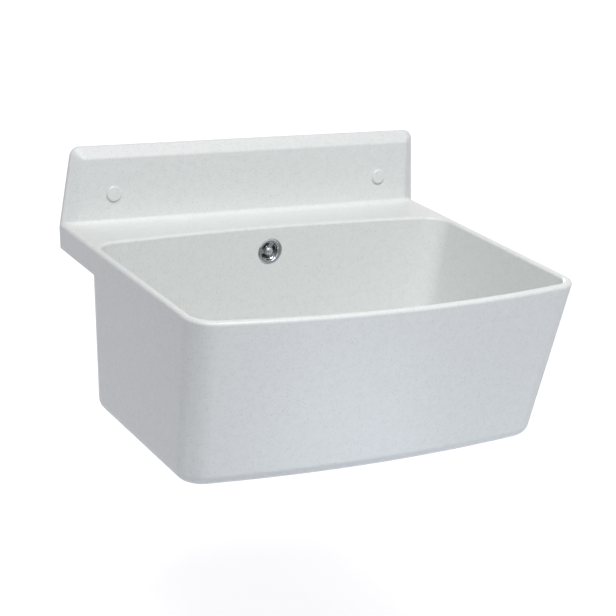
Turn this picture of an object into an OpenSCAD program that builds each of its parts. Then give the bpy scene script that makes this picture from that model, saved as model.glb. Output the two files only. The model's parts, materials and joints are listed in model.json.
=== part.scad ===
// Wall-hung utility sink: a one-piece moulded basin with a bevelled splashback,
// screwed to the wall behind two cover caps, with an overflow and a strainer waste.
// X runs along the wall, Y points into the wall, Z is up.
// The origin lies on the wall plane, midway between the two wall screws.

/* [Basin] */
// Overall width across the rim
width = 550; // [460:5:680]
// From the wall to the middle of the bowed front
depth = 440; // [380:5:540]
// From the rim down to the edge of the underside
bowl_h = 226; // [170:2:290]
// Wall thickness of the bowl
wall = 10; // [8:0.5:12]
// Width of the rim, seen from above
rim_w = 11; // [9:0.5:14]
// Radius of the rim's outer edge
rim_r = 5; // [2:0.5:6]
// Radius of the rim's inner edge
lip_r = 4; // [2:0.5:5]
// How far each side leans in by the underside
side_in = 19; // [8:1:30]
// How far the front corners lean in by the underside
front_in = 34; // [15:1:50]
// Bow of the front at the rim
bow_top = 28; // [10:1:45]
// Bow of the front at the underside
bow_low = 18; // [6:1:30]
// Radius of the front corners at the rim
corner_top = 38; // [32:1:60]
// Radius of the front corners at the underside
corner_low = 34; // [30:1:50]
// Radius between the walls and the underside
under_r = 18; // [8:1:24]
// Radius between the walls and the floor inside
floor_r = 22; // [12:1:24]
// Fall of the floor from its edge to the waste
floor_fall = 8; // [4:1:14]

/* [Ledge and splashback] */
// From the wall to the bowl's outer back wall, at its corners
back_gap = 86; // [70:1:120]
// Bow of the back wall towards the wall
back_bow = 15; // [4:1:20]
// Thickness of the ledge
ledge_t = 9; // [7:0.5:12]
// Height of the skirt under the ledge
skirt_h = 34; // [26:1:44]
// Height of the splashback above the rim
splash_h = 104; // [80:1:160]
// Thickness of the splashback with its bevel
splash_t = 14.5; // [12:0.5:20]
// Thickness of the splashback at its outer edge
splash_edge = 3.5; // [2:0.5:6]
// Width of the bevel along the top and at the top of the sides
bevel_w = 14.5; // [8:0.5:20]
// Width of the bevel at the foot of the sides
bevel_foot = 19; // [8:0.5:24]
// How far each side of the splashback leans in by its top
splash_in = 10; // [0:1:25]
// Radius of the splashback's top corners
splash_r = 14; // [6:1:24]
// Radius of the hollow between splashback and ledge
root_r = 8; // [4:0.5:12]
// Depth of the ribbed pockets in the splashback's back
pocket_d = 6; // [3:0.5:8]
// Thickness of the ribs in the pockets and under the ledge
rib_t = 5; // [3:0.5:6]

/* [Wall fixing] */
// Distance between the two wall screws
screw_gap = 411; // [340:1:480]
// Height of the wall screws above the rim
screw_up = 41; // [34:1:60]
// Radius of the clearance holes
screw_hole_r = 5.5; // [5.5:0.1:6]
// Radius of the screw thread
thread_r = 4; // [3.5:0.1:4.2]
// How far the screws reach into the wall
screw_out = 60; // [40:1:90]
// Radius of the cover caps
cap_r = 10.2; // [9.9:0.1:13]
// How far the cover caps stand off the splashback
cap_out = 3.6; // [2.5:0.1:6]

/* [Overflow] */
// Depth of the overflow below the rim
over_down = 36; // [32:1:60]
// Radius of the overflow hole
over_r = 14; // [13:0.5:16]
// Radius of the rosette
rosette_r = 18; // [17:0.5:24]
// Outer radius of the hose at its ribs
hose_r = 12.8; // [12:0.1:14]
// Depth of the hose's ribs
hose_rib = 1.7; // [0.8:0.1:2]
// Distance from rib to rib
hose_pitch = 5; // [4:0.5:8]
// Radius of the hose's bend
hose_bend = 46; // [36:1:60]
// Distance from the wall to the middle of the hose
hose_gap = 44; // [34:1:48]

/* [Waste] */
// Distance from the wall to the middle of the waste
waste_gap = 215; // [190:1:260]
// Radius of the strainer's flange
flange_r = 35; // [33:0.5:40]
// Radius of the hole in the floor
waste_hole_r = 27; // [26:0.5:29]
// Depth of the strainer's dish
dish_h = 15; // [12:1:20]
// Outer radius of the outlet's thread
outlet_r = 23.9; // [20:0.1:24]
// Length of the outlet's thread
outlet_l = 18; // [12:1:30]
// Bore radius of the outlet
outlet_bore_r = 19.5; // [15:0.5:20]

/* [Hidden] */
$fn = 64;

eps = 0.01;        // overlap that joins two solids of one piece
past = 1;          // how far a cut is drawn past what it cuts
fit = 0.3;         // gap beside a part that is fitted by hand
snug = 0.05;       // radial gap of a screw in its thread

// Colours, as the material looks
granite = [0.86, 0.87, 0.87];
chrome = [0.75, 0.76, 0.78];
steel = [0.62, 0.64, 0.66];
rubber = [0.12, 0.12, 0.13];
plastic = [0.93, 0.93, 0.91];
brass = [0.78, 0.62, 0.30];

// ---------- Basin: outline of a level slice ----------
corner_n = 7;      // steps round a corner
back_n = 10;       // steps along the back
front_n = 16;      // steps along the bowed front
side_n = 6;        // steps along a side
round_n = 4;       // steps round the rim's edges
fillet_n = 6;      // steps round the floor's and the underside's edges

half_w = width / 2;
front_y = -(depth - bow_top);          // front corners at the rim, if they were sharp
back_y = -back_gap;                    // bowl's back corners, if they were sharp
back_in = 4;                           // how far the back wall leans in by the underside
back_r_top = 42;                       // radius of the bowl's back corners under the ledge
back_r_low = 34;                       // and at the underside
over_wall = 8;                         // how far the ledge is drawn past the wall before it is cut
over_bow = 1;                          // bow and corner radius of that end
over_corner = 2;
least_r = 1;                           // smallest corner that an inset leaves

function mix(a, b, t) = a + (b - a) * t;

// Radius of an arc over the chord 2w with the rise b
function arc_r(w, b) = (w * w + b * b) / (2 * b);

// How far a corner arc of radius r turns before it meets the bowed side
function turn(w, b, r) = atan2(sqrt(pow(arc_r(w, b) - r, 2) - pow(w - r, 2)), w - r);

// One bowed end: its corner arc, the arc between the corners and the other corner arc.
// s is 1 at the back and -1 at the front; y is the height of the sharp corners.
function end_points(w, y, b, r, s, n) =
    let (big = arc_r(w, b), a = turn(w, b, r), cy = s * (y * s + b - big),
         py = cy + s * (big - r) * sin(a))
    concat(
        [for (i = [0 : corner_n]) let (t = a * i / corner_n)
            [w - r + r * cos(t), py + s * r * sin(t)]],
        [for (i = [1 : n - 1]) let (t = mix(a, 180 - a, i / n))
            [big * cos(t), cy + s * big * sin(t)]],
        [for (i = [0 : corner_n]) let (t = mix(180 - a, 180, i / corner_n))
            [-(w - r) + r * cos(t), py + s * r * sin(t)]]);

function between(p, q, n) = [for (i = [1 : n - 1]) mix(p, q, i / n)];
function flipped(v) = [for (i = [len(v) - 1 : -1 : 0]) v[i]];

// Whole outline, anticlockwise from the right end of the back
function outline(w, yb, bb, rb, yf, bf, rf) =
    let (back = end_points(w, yb, bb, rb, 1, back_n),
         front = flipped(end_points(w, yf, bf, rf, -1, front_n)))
    concat(back, between(back[len(back) - 1], front[0], side_n),
        front, between(front[len(front) - 1], back[0], side_n));

function at_z(v, z) = [for (p = v) [p[0], p[1], z]];

// Share of the walls' lean at a depth below the rim
function lean_at(down) = (down - rim_r) / (bowl_h - rim_r);

// Bowl's outer outline at a depth below the rim, drawn in by an inset
function bowl_outline(down, inset) = let (t = lean_at(down))
    outline(half_w - side_in * t - inset,
        back_y - back_in * t - inset, back_bow, max(least_r, mix(back_r_top, back_r_low, t) - inset),
        front_y + front_in * t + inset, mix(bow_top, bow_low, t),
        max(least_r, mix(corner_top, corner_low, t) - inset));

// The same with the ledge's sides, drawn past the wall
function ledge_outline(down, inset) = let (t = lean_at(down))
    outline(half_w - side_in * t - inset, over_wall, over_bow, over_corner,
        front_y + front_in * t + inset, mix(bow_top, bow_low, t),
        max(least_r, mix(corner_top, corner_low, t) - inset));

// Inside of the bowl at a depth below the rim, grown past the wall's face
function inner_outline(down, grow) = bowl_outline(down, mix(rim_w, wall, down / bowl_h) - grow);

// Points of a ring moved straight towards the waste, onto a circle round it
waste_at = [0, -waste_gap];
function onto_circle(v, r) = [for (p = v) let (d = [p[0], p[1]] - waste_at) waste_at + d * r / norm(d)];

// Closed solid through rings of equal length, from the top ring down
function middle(v) = (v[0] + v[floor(len(v) / 2)]) / 2;

module loft(rings) {
    n = len(rings[0]);
    m = len(rings);
    low = (m - 1) * n;
    sides = [for (j = [0 : m - 2], i = [0 : n - 1]) let (k = (i + 1) % n, a = j * n, b = a + n)
        each [[a + i, b + k, b + i], [a + i, a + k, b + k]]];
    ends = [for (i = [0 : n - 1]) let (k = (i + 1) % n)
        each [[m * n, k, i], [m * n + 1, low + i, low + k]]];
    polyhedron(concat([for (r = rings) each r], [middle(rings[0]), middle(rings[m - 1])]),
        concat(sides, ends), convexity = 8);
}

// ---------- Levels, measured from the rim ----------
pad_z = -(bowl_h + floor_fall);        // flat underside round the waste
drain_z = pad_z + wall;                // floor at the waste
pad_r = flange_r + 11;                 // radius of the flat underside
flat_r = flange_r + 7;                 // radius of the flat floor round the strainer
seat_drop = 3;                         // depth of the strainer's seat below the floor
seat_z = drain_z - seat_drop;
step_drop = 1.5;                       // slope of the skirt's lower edge

outer_rings = concat(
    [for (i = [0 : round_n]) let (a = 90 * i / round_n, down = rim_r * (1 - cos(a)))
        at_z(ledge_outline(down, rim_r * (1 - sin(a))), -down)],
    [at_z(ledge_outline(skirt_h, 0), -skirt_h)],
    [at_z(bowl_outline(skirt_h + step_drop, 0), -skirt_h - step_drop)],
    [for (i = [0 : fillet_n]) let (a = 90 * i / fillet_n, down = bowl_h - under_r * (1 - sin(a)))
        at_z(bowl_outline(down, under_r * (1 - cos(a))), -down)],
    [at_z(onto_circle(bowl_outline(bowl_h, under_r), pad_r), pad_z)]);

inner_floor = bowl_h - wall;           // depth of the floor at its edge
inner_rings = concat(
    [at_z(inner_outline(0, lip_r), lip_r)],
    [for (i = [0 : round_n]) let (a = 90 * i / round_n, down = lip_r * (1 - cos(a)))
        at_z(inner_outline(down, lip_r * (1 - sin(a))), -down)],
    [for (i = [0 : fillet_n]) let (a = 90 * i / fillet_n, down = inner_floor - floor_r * (1 - sin(a)))
        at_z(inner_outline(down, -floor_r * (1 - cos(a))), -down)],
    [at_z(onto_circle(inner_outline(inner_floor, -floor_r), flat_r), drain_z)]);

// ---------- Splashback ----------
soft = 1.6;                            // how far the bevel's edges are eased
splash_foot = half_w - 0.4;            // half width where it meets the ledge
splash_top = splash_foot - splash_in;
sunk = 6;                              // how deep it is rooted in the ledge
ease = soft / bevel_w;

// Outline of the splashback at a share of the bevel, seen from the front
function splash_ring(share, out) =
    let (foot = splash_foot - share * bevel_foot, r = mix(splash_r, soft, min(share, 1)),
         cx = splash_top - share * bevel_w - r, cy = splash_h - share * bevel_w - r,
         start = acos(r / norm([foot - cx, cy])) - atan2(cy, foot - cx),
         right = concat([[foot, -sunk], [foot, 0]], [for (i = [0 : corner_n])
             let (a = mix(start, 90, i / corner_n)) [cx + r * cos(a), cy + r * sin(a)]]))
    at_z(concat(right, flipped([for (p = right) [-p[0], p[1]]])), out);

module splash() {
    run = splash_t - splash_edge;
    rotate([90, 0, 0]) loft([
        splash_ring(1 + ease, splash_t),
        splash_ring(1 - ease, splash_t - ease * run),
        splash_ring(ease, splash_edge + ease * run / 2),
        splash_ring(0, splash_edge - soft),
        splash_ring(0, -over_wall)]);
}

// Hollow where the splashback meets the ledge, fading out towards the wall
module root() {
    lean = splash_in / splash_h;
    levels = [for (i = [0 : fillet_n]) root_r * (1 - i / fillet_n)];
    lowest = -1;
    rings = [for (z = concat(levels, [lowest]))
        let (g = z > 0 ? root_r - sqrt(root_r * root_r - pow(root_r - z, 2)) - fit : root_r,
             b = splash_foot - lean * z - soft, f = splash_foot - bevel_foot - lean * z + g,
             y = -splash_t - g)
        at_z([[b, over_wall - past], [-b, over_wall - past], [-b, -splash_edge], [-f, y], [f, y],
            [b, -splash_edge]], z)];
    loft(rings);
}

// ---------- Wall screws: their places, and depths measured out from the wall ----------
rib_pitch = screw_gap / 8;             // ribs line up with the screw bosses
boss_r = 13;
sink_r = 9;                            // counterbore for the cup
sink_z = splash_t - 6.5;               // its floor
cup_floor = 1.5;
head_z = sink_z + cup_floor;           // underside of the screw's head
head_r = 6;
head_h = 3.5;
cup_r = sink_r - fit;
cup_in_r = 7.5;
sleeve_l = 5;                          // cup's sleeve round the screw

module at_screws() for (s = [-1, 1]) translate([s * screw_gap / 2, 0, screw_up]) rotate([90, 0, 0]) children();

// ---------- Back of the basin ----------
// Ribbed pockets behind the splashback, with a margin round them
module splash_pockets() {
    margin = 12;
    side_margin = 7;
    rows = [[margin, screw_up - rib_t / 2], [screw_up + rib_t / 2, splash_h - margin]];
    cells = floor((splash_top - side_margin) / rib_pitch);
    difference() {
        for (i = [-cells : cells - 1], row = rows)
            translate([i * rib_pitch + rib_t / 2, -pocket_d, row[0]])
                cube([rib_pitch - rib_t, pocket_d + over_wall, row[1] - row[0]]);
        at_screws() translate([0, 0, -over_wall - past]) cylinder(r = boss_r, h = over_wall + splash_t);
    }
}

// Open space under the ledge, behind the bowl, with the ribs left standing
module ledge_space() {
    inside = half_w - side_in * skirt_h / bowl_h - ledge_t;
    rib_up = 5;                        // the ribs end this far above the skirt's edge
    rib_room = 10;                     // least room between a rib and the skirt
    drop = 20;                         // how far below the skirt the cut starts
    grow = 0.4;                        // it keeps this far from the bowl
    bottom = -skirt_h - drop;
    reach = back_gap + back_r_top;
    difference() {
        translate([-inside, -reach, bottom]) cube([2 * inside, reach + over_wall + past, -ledge_t - bottom]);
        translate([0, 0, bottom - past]) linear_extrude(-bottom)
            polygon(bowl_outline(skirt_h + step_drop, -grow));
        for (i = [1 : floor((inside - rib_room) / rib_pitch)], s = [-1, 1])
            translate([s * i * rib_pitch - rib_t / 2, -reach - past, -skirt_h + rib_up])
                cube([rib_t, reach + over_wall + 3 * past, skirt_h]);
    }
}

over_z = -over_down;
rosette_room = 0.3;                                // the rosette's seat is this much wider
rosette_y = -(back_gap - back_bow + wall) + 1.8;   // seat of the rosette, just behind the inner face
pad_y = -(back_gap - back_bow) + 4;                // flat seat of the elbow's seal
over_pad_r = 25;                                   // and its radius

// Cylinder along Y from y0 back to y1 at the overflow
module over_rod(r, y0, y1) translate([0, y1, over_z]) rotate([90, 0, 0]) cylinder(r = r, h = y1 - y0);

module basin_body() {
    difference() {
        union() {
            difference() {
                union() {
                    loft(outer_rings);
                    splash();
                    root();
                }
                ledge_space();
                splash_pockets();
                translate([-width, 0, -bowl_h]) cube([2 * width, over_wall + past, bowl_h + 2 * splash_h]);
            }
            over_rod(over_pad_r, rosette_y + wall / 3, pad_y);
        }
        loft(inner_rings);
        over_rod(rosette_r + rosette_room, rosette_y - wall, rosette_y);
        over_rod(over_r, rosette_y - past, pad_y + past);
        translate([0, -waste_gap, seat_z]) cylinder(r = flange_r + fit, h = wall);
        translate([0, -waste_gap, pad_z - past]) cylinder(r = waste_hole_r, h = wall + 2 * past);
        at_screws() {
            translate([0, 0, -past]) cylinder(r = screw_hole_r, h = splash_t);
            translate([0, 0, sink_z]) cylinder(r = sink_r, h = splash_t);
        }
    }
}

// Everything is drawn with the rim at z = 0 and then moved down from the screws
module placed() translate([0, 0, -screw_up]) children();

module basin() color(granite) placed() basin_body();

// ---------- Wall fixing ----------
// Nylon cup that centres each screw and takes the cover cap
module screw_cups() color(plastic) placed() at_screws() rotate_extrude()
    polygon([[thread_r + fit, sink_z - sleeve_l], [screw_hole_r - fit, sink_z - sleeve_l],
        [screw_hole_r - fit, sink_z],
        [cup_r, sink_z], [cup_r, splash_t - 1], [cup_in_r, splash_t - 1], [cup_in_r, head_z],
        [thread_r + fit, head_z]]);

module wall_screws() color(steel) placed() at_screws() {
    shank_r = thread_r - 0.5;
    tip = 8;
    point_r = 0.5;
    chamfer = 1;
    socket_r = 2.9;                    // over the corners of its hexagon
    thread_top = 0.5;                  // the thread starts just inside the basin
    difference() {
        union() {
            translate([0, 0, -screw_out + tip]) cylinder(r = thread_r, h = screw_out - tip + thread_top);
            translate([0, 0, -screw_out]) cylinder(r1 = point_r, r2 = thread_r, h = tip);
            cylinder(r = shank_r, h = head_z + eps);
            translate([0, 0, head_z]) cylinder(r = head_r, h = head_h - chamfer);
            translate([0, 0, head_z + head_h - chamfer]) cylinder(r1 = head_r, r2 = head_r - chamfer, h = chamfer);
        }
        translate([0, 0, head_z + chamfer]) cylinder(r = socket_r, h = head_h, $fn = 6);
    }
}

module cover_cap(s) color(granite) placed() translate([s * screw_gap / 2, 0, screw_up]) rotate([90, 0, 0]) {
    edge_r = 1.6;
    collar_l = 2.2;                    // collar that snaps into the cup
    top = splash_t + cap_out;
    rotate_extrude() polygon(concat([[0, splash_t], [cap_r, splash_t]],
        [for (a = [0 : 15 : 90]) [cap_r - edge_r + edge_r * cos(a), top - edge_r + edge_r * sin(a)]],
        [[0, top]]));
    translate([0, 0, splash_t - collar_l]) difference() {
        cylinder(r = cup_in_r - fit, h = collar_l + eps);
        translate([0, 0, -past]) cylinder(r = head_r + fit, h = collar_l + past);
    }
}

module cover_cap_left() cover_cap(-1);
module cover_cap_right() cover_cap(1);

// ---------- Overflow: depths measured from the rosette's seat towards the bowl ----------
module at_rosette() placed() translate([0, rosette_y, over_z]) rotate([90, 0, 0]) children();

rosette_seal_t = 1;
tube_r = over_r - 2 * fit;             // rosette's spigot in the wall
hub_r = 6.2;
bolt_r = 2.5;                          // rosette's screw
hub_top = 0.8;

module rosette_seal() color(rubber) at_rosette() difference() {
    cylinder(r = rosette_r - rosette_room, h = rosette_seal_t);
    translate([0, 0, -past]) cylinder(r = over_r, h = rosette_seal_t + 2 * past);
}

module overflow_rosette() color(chrome) at_rosette() {
    slots = 3;
    slot_at = 6;                       // the first slot's middle, round from +X
    slot_in = hub_r + 0.8;
    slot_out = tube_r - 2.2;
    slot_turn = 76;
    floor_z = -2.4;
    floor_t = 1.4;
    bolt_hole = bolt_r + 0.2;
    dish_r = tube_r - 1.5;             // dish at its floor
    bead_r = 2.4;                      // the rim is a bead, part of a circle
    bead_at = [rosette_r - bead_r, rosette_seal_t - 0.2];
    bead = [for (a = [10 : 20 : 130]) bead_at + bead_r * [cos(a), sin(a)]];
    difference() {
        rotate_extrude() polygon(concat([[bolt_hole, floor_z - floor_t], [tube_r, floor_z - floor_t],
            [tube_r, rosette_seal_t], [rosette_r, rosette_seal_t]], bead,
            [[dish_r + fit, 0], [dish_r, floor_z], [hub_r + 0.2, floor_z], [hub_r, hub_top - 0.6],
            [hub_r - 0.6, hub_top], [bolt_hole, hub_top]]));
        for (i = [0 : slots - 1]) rotate(slot_at + i * 360 / slots - slot_turn / 2)
            translate([0, 0, floor_z - floor_t - past]) rotate_extrude(angle = slot_turn)
                translate([slot_in, 0]) square([slot_out - slot_in, floor_t + 2 * past]);
    }
}

// Elbow behind the bowl: y values from its seal to its closed back
seal_t = 3;
elbow_y = pad_y + seal_t;              // face that meets the seal
elbow_wall = 2.5;
elbow_in_r = over_r + 0.5;
elbow_out_r = elbow_in_r + elbow_wall + 0.5;
elbow_flange_t = 3.5;
elbow_flange_r = over_pad_r - 1;
insert_r = 4;
insert_l = 9;
port_r = 14;                           // thread that takes the hose's nut
port_bore = 9;
port_l = 19;                           // how far the port stands off the elbow
elbow_back = -hose_gap + port_r + 1.5; // outside of the closed back
insert_y1 = elbow_back - elbow_wall;   // the brass insert ends at the closed back
insert_y0 = insert_y1 - insert_l;
port_end = over_z - elbow_out_r - port_l;

module elbow_seal() color(rubber) placed() difference() {
    over_rod(elbow_flange_r, pad_y, elbow_y);
    over_rod(over_r + 1, pad_y - past, elbow_y + past);
}

module overflow_elbow() color(plastic) placed() difference() {
    union() {
        over_rod(elbow_flange_r, elbow_y, elbow_y + elbow_flange_t);
        over_rod(elbow_out_r, elbow_y, elbow_back);
        translate([0, -hose_gap, port_end]) cylinder(r = port_r, h = over_z - port_end);
    }
    difference() {
        over_rod(elbow_in_r, elbow_y - past, elbow_back - elbow_wall);
        over_rod(insert_r + elbow_wall, insert_y0, elbow_back);
    }
    over_rod(insert_r + snug, insert_y0 - past, insert_y1);
    translate([0, -hose_gap, port_end - past]) cylinder(r = port_bore, h = port_l + elbow_out_r / 2);
}

module elbow_insert() color(brass) placed() difference() {
    over_rod(insert_r, insert_y0, insert_y1);
    over_rod(bolt_r + snug, insert_y0 - past, insert_y1 + past);
}

module rosette_screw() color(steel) at_rosette() {
    slot_w = 1.2;
    edge_h = 1;                        // straight edge of the head, then its dome
    dome_h = 1.1;
    head = 4.6;
    tail = rosette_y - insert_y1 + 1;  // it stops inside the insert
    difference() {
        union() {
            translate([0, 0, tail]) cylinder(r = bolt_r, h = hub_top - tail + edge_h);
            translate([0, 0, hub_top]) cylinder(r = head, h = edge_h);
            translate([0, 0, hub_top + edge_h]) cylinder(r1 = head, r2 = head - dome_h - fit, h = dome_h);
        }
        translate([-head - past, -slot_w / 2, hub_top + edge_h]) cube([2 * (head + past), slot_w, dome_h + past]);
    }
}

// ---------- Overflow hose ----------
drop_z = pad_z - seal_t;               // top of the waste body
branch_z = drop_z - 19;                // middle of its side branch
branch_y = -waste_gap + 55;            // and its open end
cuff = 26;                             // plain length at each end of the hose
cuff_r = hose_r - 0.8;
hose_wall = 1.2;
hose_sides = 8;
down_l = port_end - (branch_z + hose_bend);
turn_l = hose_bend * PI / 2;
along_l = -hose_gap - hose_bend - branch_y;
hose_l = down_l + turn_l + along_l;
ribs = floor((hose_l - 2 * cuff) / hose_pitch);

// Middle line of the hose at a length s from its upper end: [y, z, angle of travel below -Z]
function hose_at(s) =
    s <= down_l ? [-hose_gap, port_end - s, 0]
    : s <= down_l + turn_l ? let (a = 90 * (s - down_l) / turn_l)
        [-hose_gap - hose_bend * (1 - cos(a)), branch_z + hose_bend * (1 - sin(a)), a]
    : [-hose_gap - hose_bend - (s - down_l - turn_l), branch_z, 90];

function hose_ring(s, r) = let (m = hose_at(s))
    [for (i = [0 : hose_sides - 1]) let (t = 360 * (i + 0.5) / hose_sides, v = r * sin(t))
        [r * cos(t), m[0] - v * cos(m[2]), m[1] + v * sin(m[2])]];

hose_cuts = concat([0, cuff],
    [for (i = [0 : ribs - 1]) each [cuff + hose_pitch * (i + 0.3), cuff + hose_pitch * (i + 0.8)]],
    [hose_l - cuff, hose_l]);
function is_valley(i) = i > 1 && i < len(hose_cuts) - 2 && i % 2 == 1;

module overflow_hose() color(plastic) placed() {
    outer = [for (i = [0 : len(hose_cuts) - 1])
        let (end = i < 2 || i > len(hose_cuts) - 3)
        hose_ring(hose_cuts[i], end ? cuff_r : is_valley(i) ? hose_r - hose_rib : hose_r)];
    inner = [for (i = [0 : len(hose_cuts) - 1])
        hose_ring(hose_cuts[i], is_valley(i) ? hose_r - hose_rib - hose_wall : cuff_r - hose_wall)];
    rings = concat(outer, flipped(inner));
    n = hose_sides;
    m = len(rings);
    polyhedron([for (r = rings) each r],
        [for (j = [0 : m - 1], i = [0 : n - 1]) let (k = (i + 1) % n, a = j * n, b = ((j + 1) % m) * n)
            each [[a + i, b + i, b + k], [a + i, b + k, a + k]]], convexity = 10);
}

// Union nut, drawn along Z from its open threaded end at 0
nut_l = 23;
thread_l = 15;
nut_r = 17.4;
hose_seal_t = 3;

module hose_nut() {
    grips = 16;
    grip_w = 2.4;
    grip_out = 0.8;
    grip_in = 1.5;                     // the grips start this far from the open end
    difference() {
        union() {
            cylinder(r = nut_r - grip_out, h = nut_l);
            for (i = [0 : grips - 1]) rotate(360 * i / grips) translate([0, -grip_w / 2, grip_in])
                cube([nut_r, grip_w, thread_l + grip_in]);
        }
        translate([0, 0, -past]) cylinder(r = port_r + snug, h = thread_l + hose_seal_t + past);
        cylinder(r = cuff_r + fit, h = nut_l + past);
    }
}

// Places of the two joints of the hose, with Z along the hose from each port's end
module at_upper_port() placed() translate([0, -hose_gap, port_end]) rotate([180, 0, 0]) children();
module at_lower_port() placed() translate([0, branch_y, branch_z]) rotate([-90, 0, 0]) children();

module hose_nut_upper() color(plastic) at_upper_port() translate([0, 0, -thread_l]) hose_nut();
module hose_nut_lower() color(plastic) at_lower_port() translate([0, 0, -thread_l]) hose_nut();

module hose_seal() difference() {
    cylinder(r = port_r - fit, h = hose_seal_t);
    translate([0, 0, -past]) cylinder(r = cuff_r + snug, h = hose_seal_t + 2 * past);
}

module hose_seals() color(rubber) {
    at_upper_port() hose_seal();
    at_lower_port() hose_seal();
}

// ---------- Waste: drawn round its own axis ----------
module at_waste(z) placed() translate([0, -waste_gap, z]) children();

flange_t = 1.5;
upper_seal_t = 1.5;
dish_top = 25.5;                       // inside radius of the dish at the flange
dish_low = 23;                         // and at its floor
sheet = 1.2;
stem_r = 3;                            // strainer's screw

// Heights from the floor at the waste; holes lie in rings of [how many, radius of the ring]
module strainer() color(steel) at_waste(drain_z) difference() {
    hole_rings = [[6, 9], [12, 17.5]];
    hole_r = 2.8;
    ease = 0.8;                        // eased edge of the flange
    rotate_extrude() polygon([[stem_r + fit, -dish_h - sheet], [dish_low + sheet, -dish_h - sheet],
        [dish_top + sheet, -flange_t], [flange_r, -flange_t], [flange_r, -flange_t + ease],
        [flange_r - ease, 0], [dish_top, 0], [dish_low, -dish_h], [stem_r + fit, -dish_h]]);
    for (ring = hole_rings, i = [0 : ring[0] - 1]) rotate(360 * i / ring[0])
        translate([ring[1], 0, -dish_h - sheet - past]) cylinder(r = hole_r, h = sheet + 2 * past);
}

module strainer_seal() color(rubber) at_waste(seat_z) difference() {
    cylinder(r = flange_r - fit, h = upper_seal_t);
    translate([0, 0, -past]) cylinder(r = waste_hole_r + 1, h = upper_seal_t + 2 * past);
}

module waste_seal() color(rubber) at_waste(drop_z) difference() {
    cylinder(r = body_flange_r, h = seal_t);
    translate([0, 0, -past]) cylinder(r = waste_hole_r + fit, h = seal_t + 2 * past);
}

// Depths below the waste body's top face
body_in = waste_hole_r;
body_wall = 3;
body_out = body_in + body_wall;
body_flange_r = flange_r + 1;
body_flange_t = 4;
cup_h = 35;
cone_h = 6;
hub_at = 11;                           // top of the hub
hub_h = 18;
hub_out = 8;
arms = 3;
arm_w = 2.5;
arm_step = 2;                          // the arms are this much lower than the hub
waste_insert_r = 5;
waste_insert_l = 10;
thread_ease = 1;                       // chamfer of the outlet's thread

module waste_body() color(plastic) at_waste(drop_z) {
    end = -(cup_h + cone_h + outlet_l);
    hub_end = -hub_at - hub_h;
    neck = -cup_h - cone_h;
    difference() {
        union() {
            difference() {
                union() {
                    rotate_extrude() polygon([[0, end], [outlet_r - thread_ease, end],
                        [outlet_r, end + thread_ease], [outlet_r, neck], [body_out, -cup_h],
                        [body_out, -body_flange_t], [body_flange_r, -body_flange_t], [body_flange_r, 0], [0, 0]]);
                    translate([0, 0, branch_z - drop_z]) rotate([-90, 0, 0])
                        cylinder(r = port_r, h = branch_y + waste_gap);
                }
                rotate_extrude() polygon([[0, end - past], [outlet_bore_r, end - past],
                    [outlet_bore_r, neck + body_wall / 2], [body_in, -cup_h + body_wall / 2],
                    [body_in, past], [0, past]]);
            }
            for (i = [0 : arms - 1]) rotate(360 * i / arms + 30)
                translate([0, -arm_w / 2, hub_end + arm_step])
                    cube([body_in + body_wall / 2, arm_w, hub_h - 2 * arm_step]);
            translate([0, 0, hub_end]) cylinder(r = hub_out, h = hub_h);
        }
        translate([0, hub_out + 2, branch_z - drop_z]) rotate([-90, 0, 0])
            cylinder(r = port_bore, h = branch_y + waste_gap);
        translate([0, 0, -hub_at - waste_insert_l]) cylinder(r = waste_insert_r + snug, h = hub_h);
        translate([0, 0, hub_end - past]) cylinder(r = stem_r + fit, h = hub_h);
    }
}

module waste_insert() color(brass) at_waste(drop_z - hub_at - waste_insert_l) difference() {
    cylinder(r = waste_insert_r, h = waste_insert_l);
    translate([0, 0, -past]) cylinder(r = stem_r + snug, h = waste_insert_l + 2 * past);
}

module strainer_screw() color(steel) at_waste(drain_z - dish_h) {
    tail = 3;                          // it ends this far below the hub
    below = drain_z - dish_h - (drop_z - hub_at - hub_h) + tail;
    head = 6.5;
    edge_h = 1.2;                      // straight edge of the head, then its dome
    dome_h = 1.6;
    slot_w = 1.6;
    difference() {
        union() {
            translate([0, 0, -below]) cylinder(r = stem_r, h = below + edge_h);
            cylinder(r = head, h = edge_h);
            translate([0, 0, edge_h]) cylinder(r1 = head, r2 = head - dome_h - fit, h = dome_h);
        }
        translate([-head - past, -slot_w / 2, edge_h]) cube([2 * (head + past), slot_w, dome_h + past]);
    }
}

// Rubber plug: its lip rests on the strainer's flange
module drain_plug() color(rubber) at_waste(drain_z) {
    lip_out = dish_top + 3.2;
    lip_t = 3;
    lip_ease = 1.2;
    deep = dish_h - 5;                 // it clears the strainer's screw
    hollow = 6;                        // hollow in its underside
    side_t = 4;                        // left round the hollow
    slope = (dish_top - dish_low) / dish_h;
    gap = fit + 0.15;
    knob_h = 17;
    knob_r = 9;
    bead_r = 2.5;                      // rounded edge of the knob
    neck_r = 4.6;
    rotate_extrude() polygon(concat(
        [[0, -deep + hollow], [dish_low - side_t - 1, -deep + hollow], [dish_low - side_t, -deep],
            [dish_top - slope * deep - gap, -deep], [dish_top - gap, 0], [lip_out, 0],
            [lip_out, lip_t - lip_ease], [lip_out - lip_ease, lip_t], [neck_r + 1.4, lip_t + 0.6],
            [neck_r, lip_t + 2.5], [neck_r, knob_h - 3 * bead_r]],
        [for (a = [-60 : 20 : 80]) [knob_r - bead_r + bead_r * cos(a), knob_h - bead_r + bead_r * sin(a)]],
        [[0, knob_h]]));
}

basin();
screw_cups();
wall_screws();
cover_cap_left();
cover_cap_right();
overflow_rosette();
rosette_seal();
rosette_screw();
elbow_seal();
overflow_elbow();
elbow_insert();
hose_nut_upper();
hose_nut_lower();
hose_seals();
overflow_hose();
strainer();
strainer_seal();
strainer_screw();
waste_seal();
waste_body();
waste_insert();
drain_plug();
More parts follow.
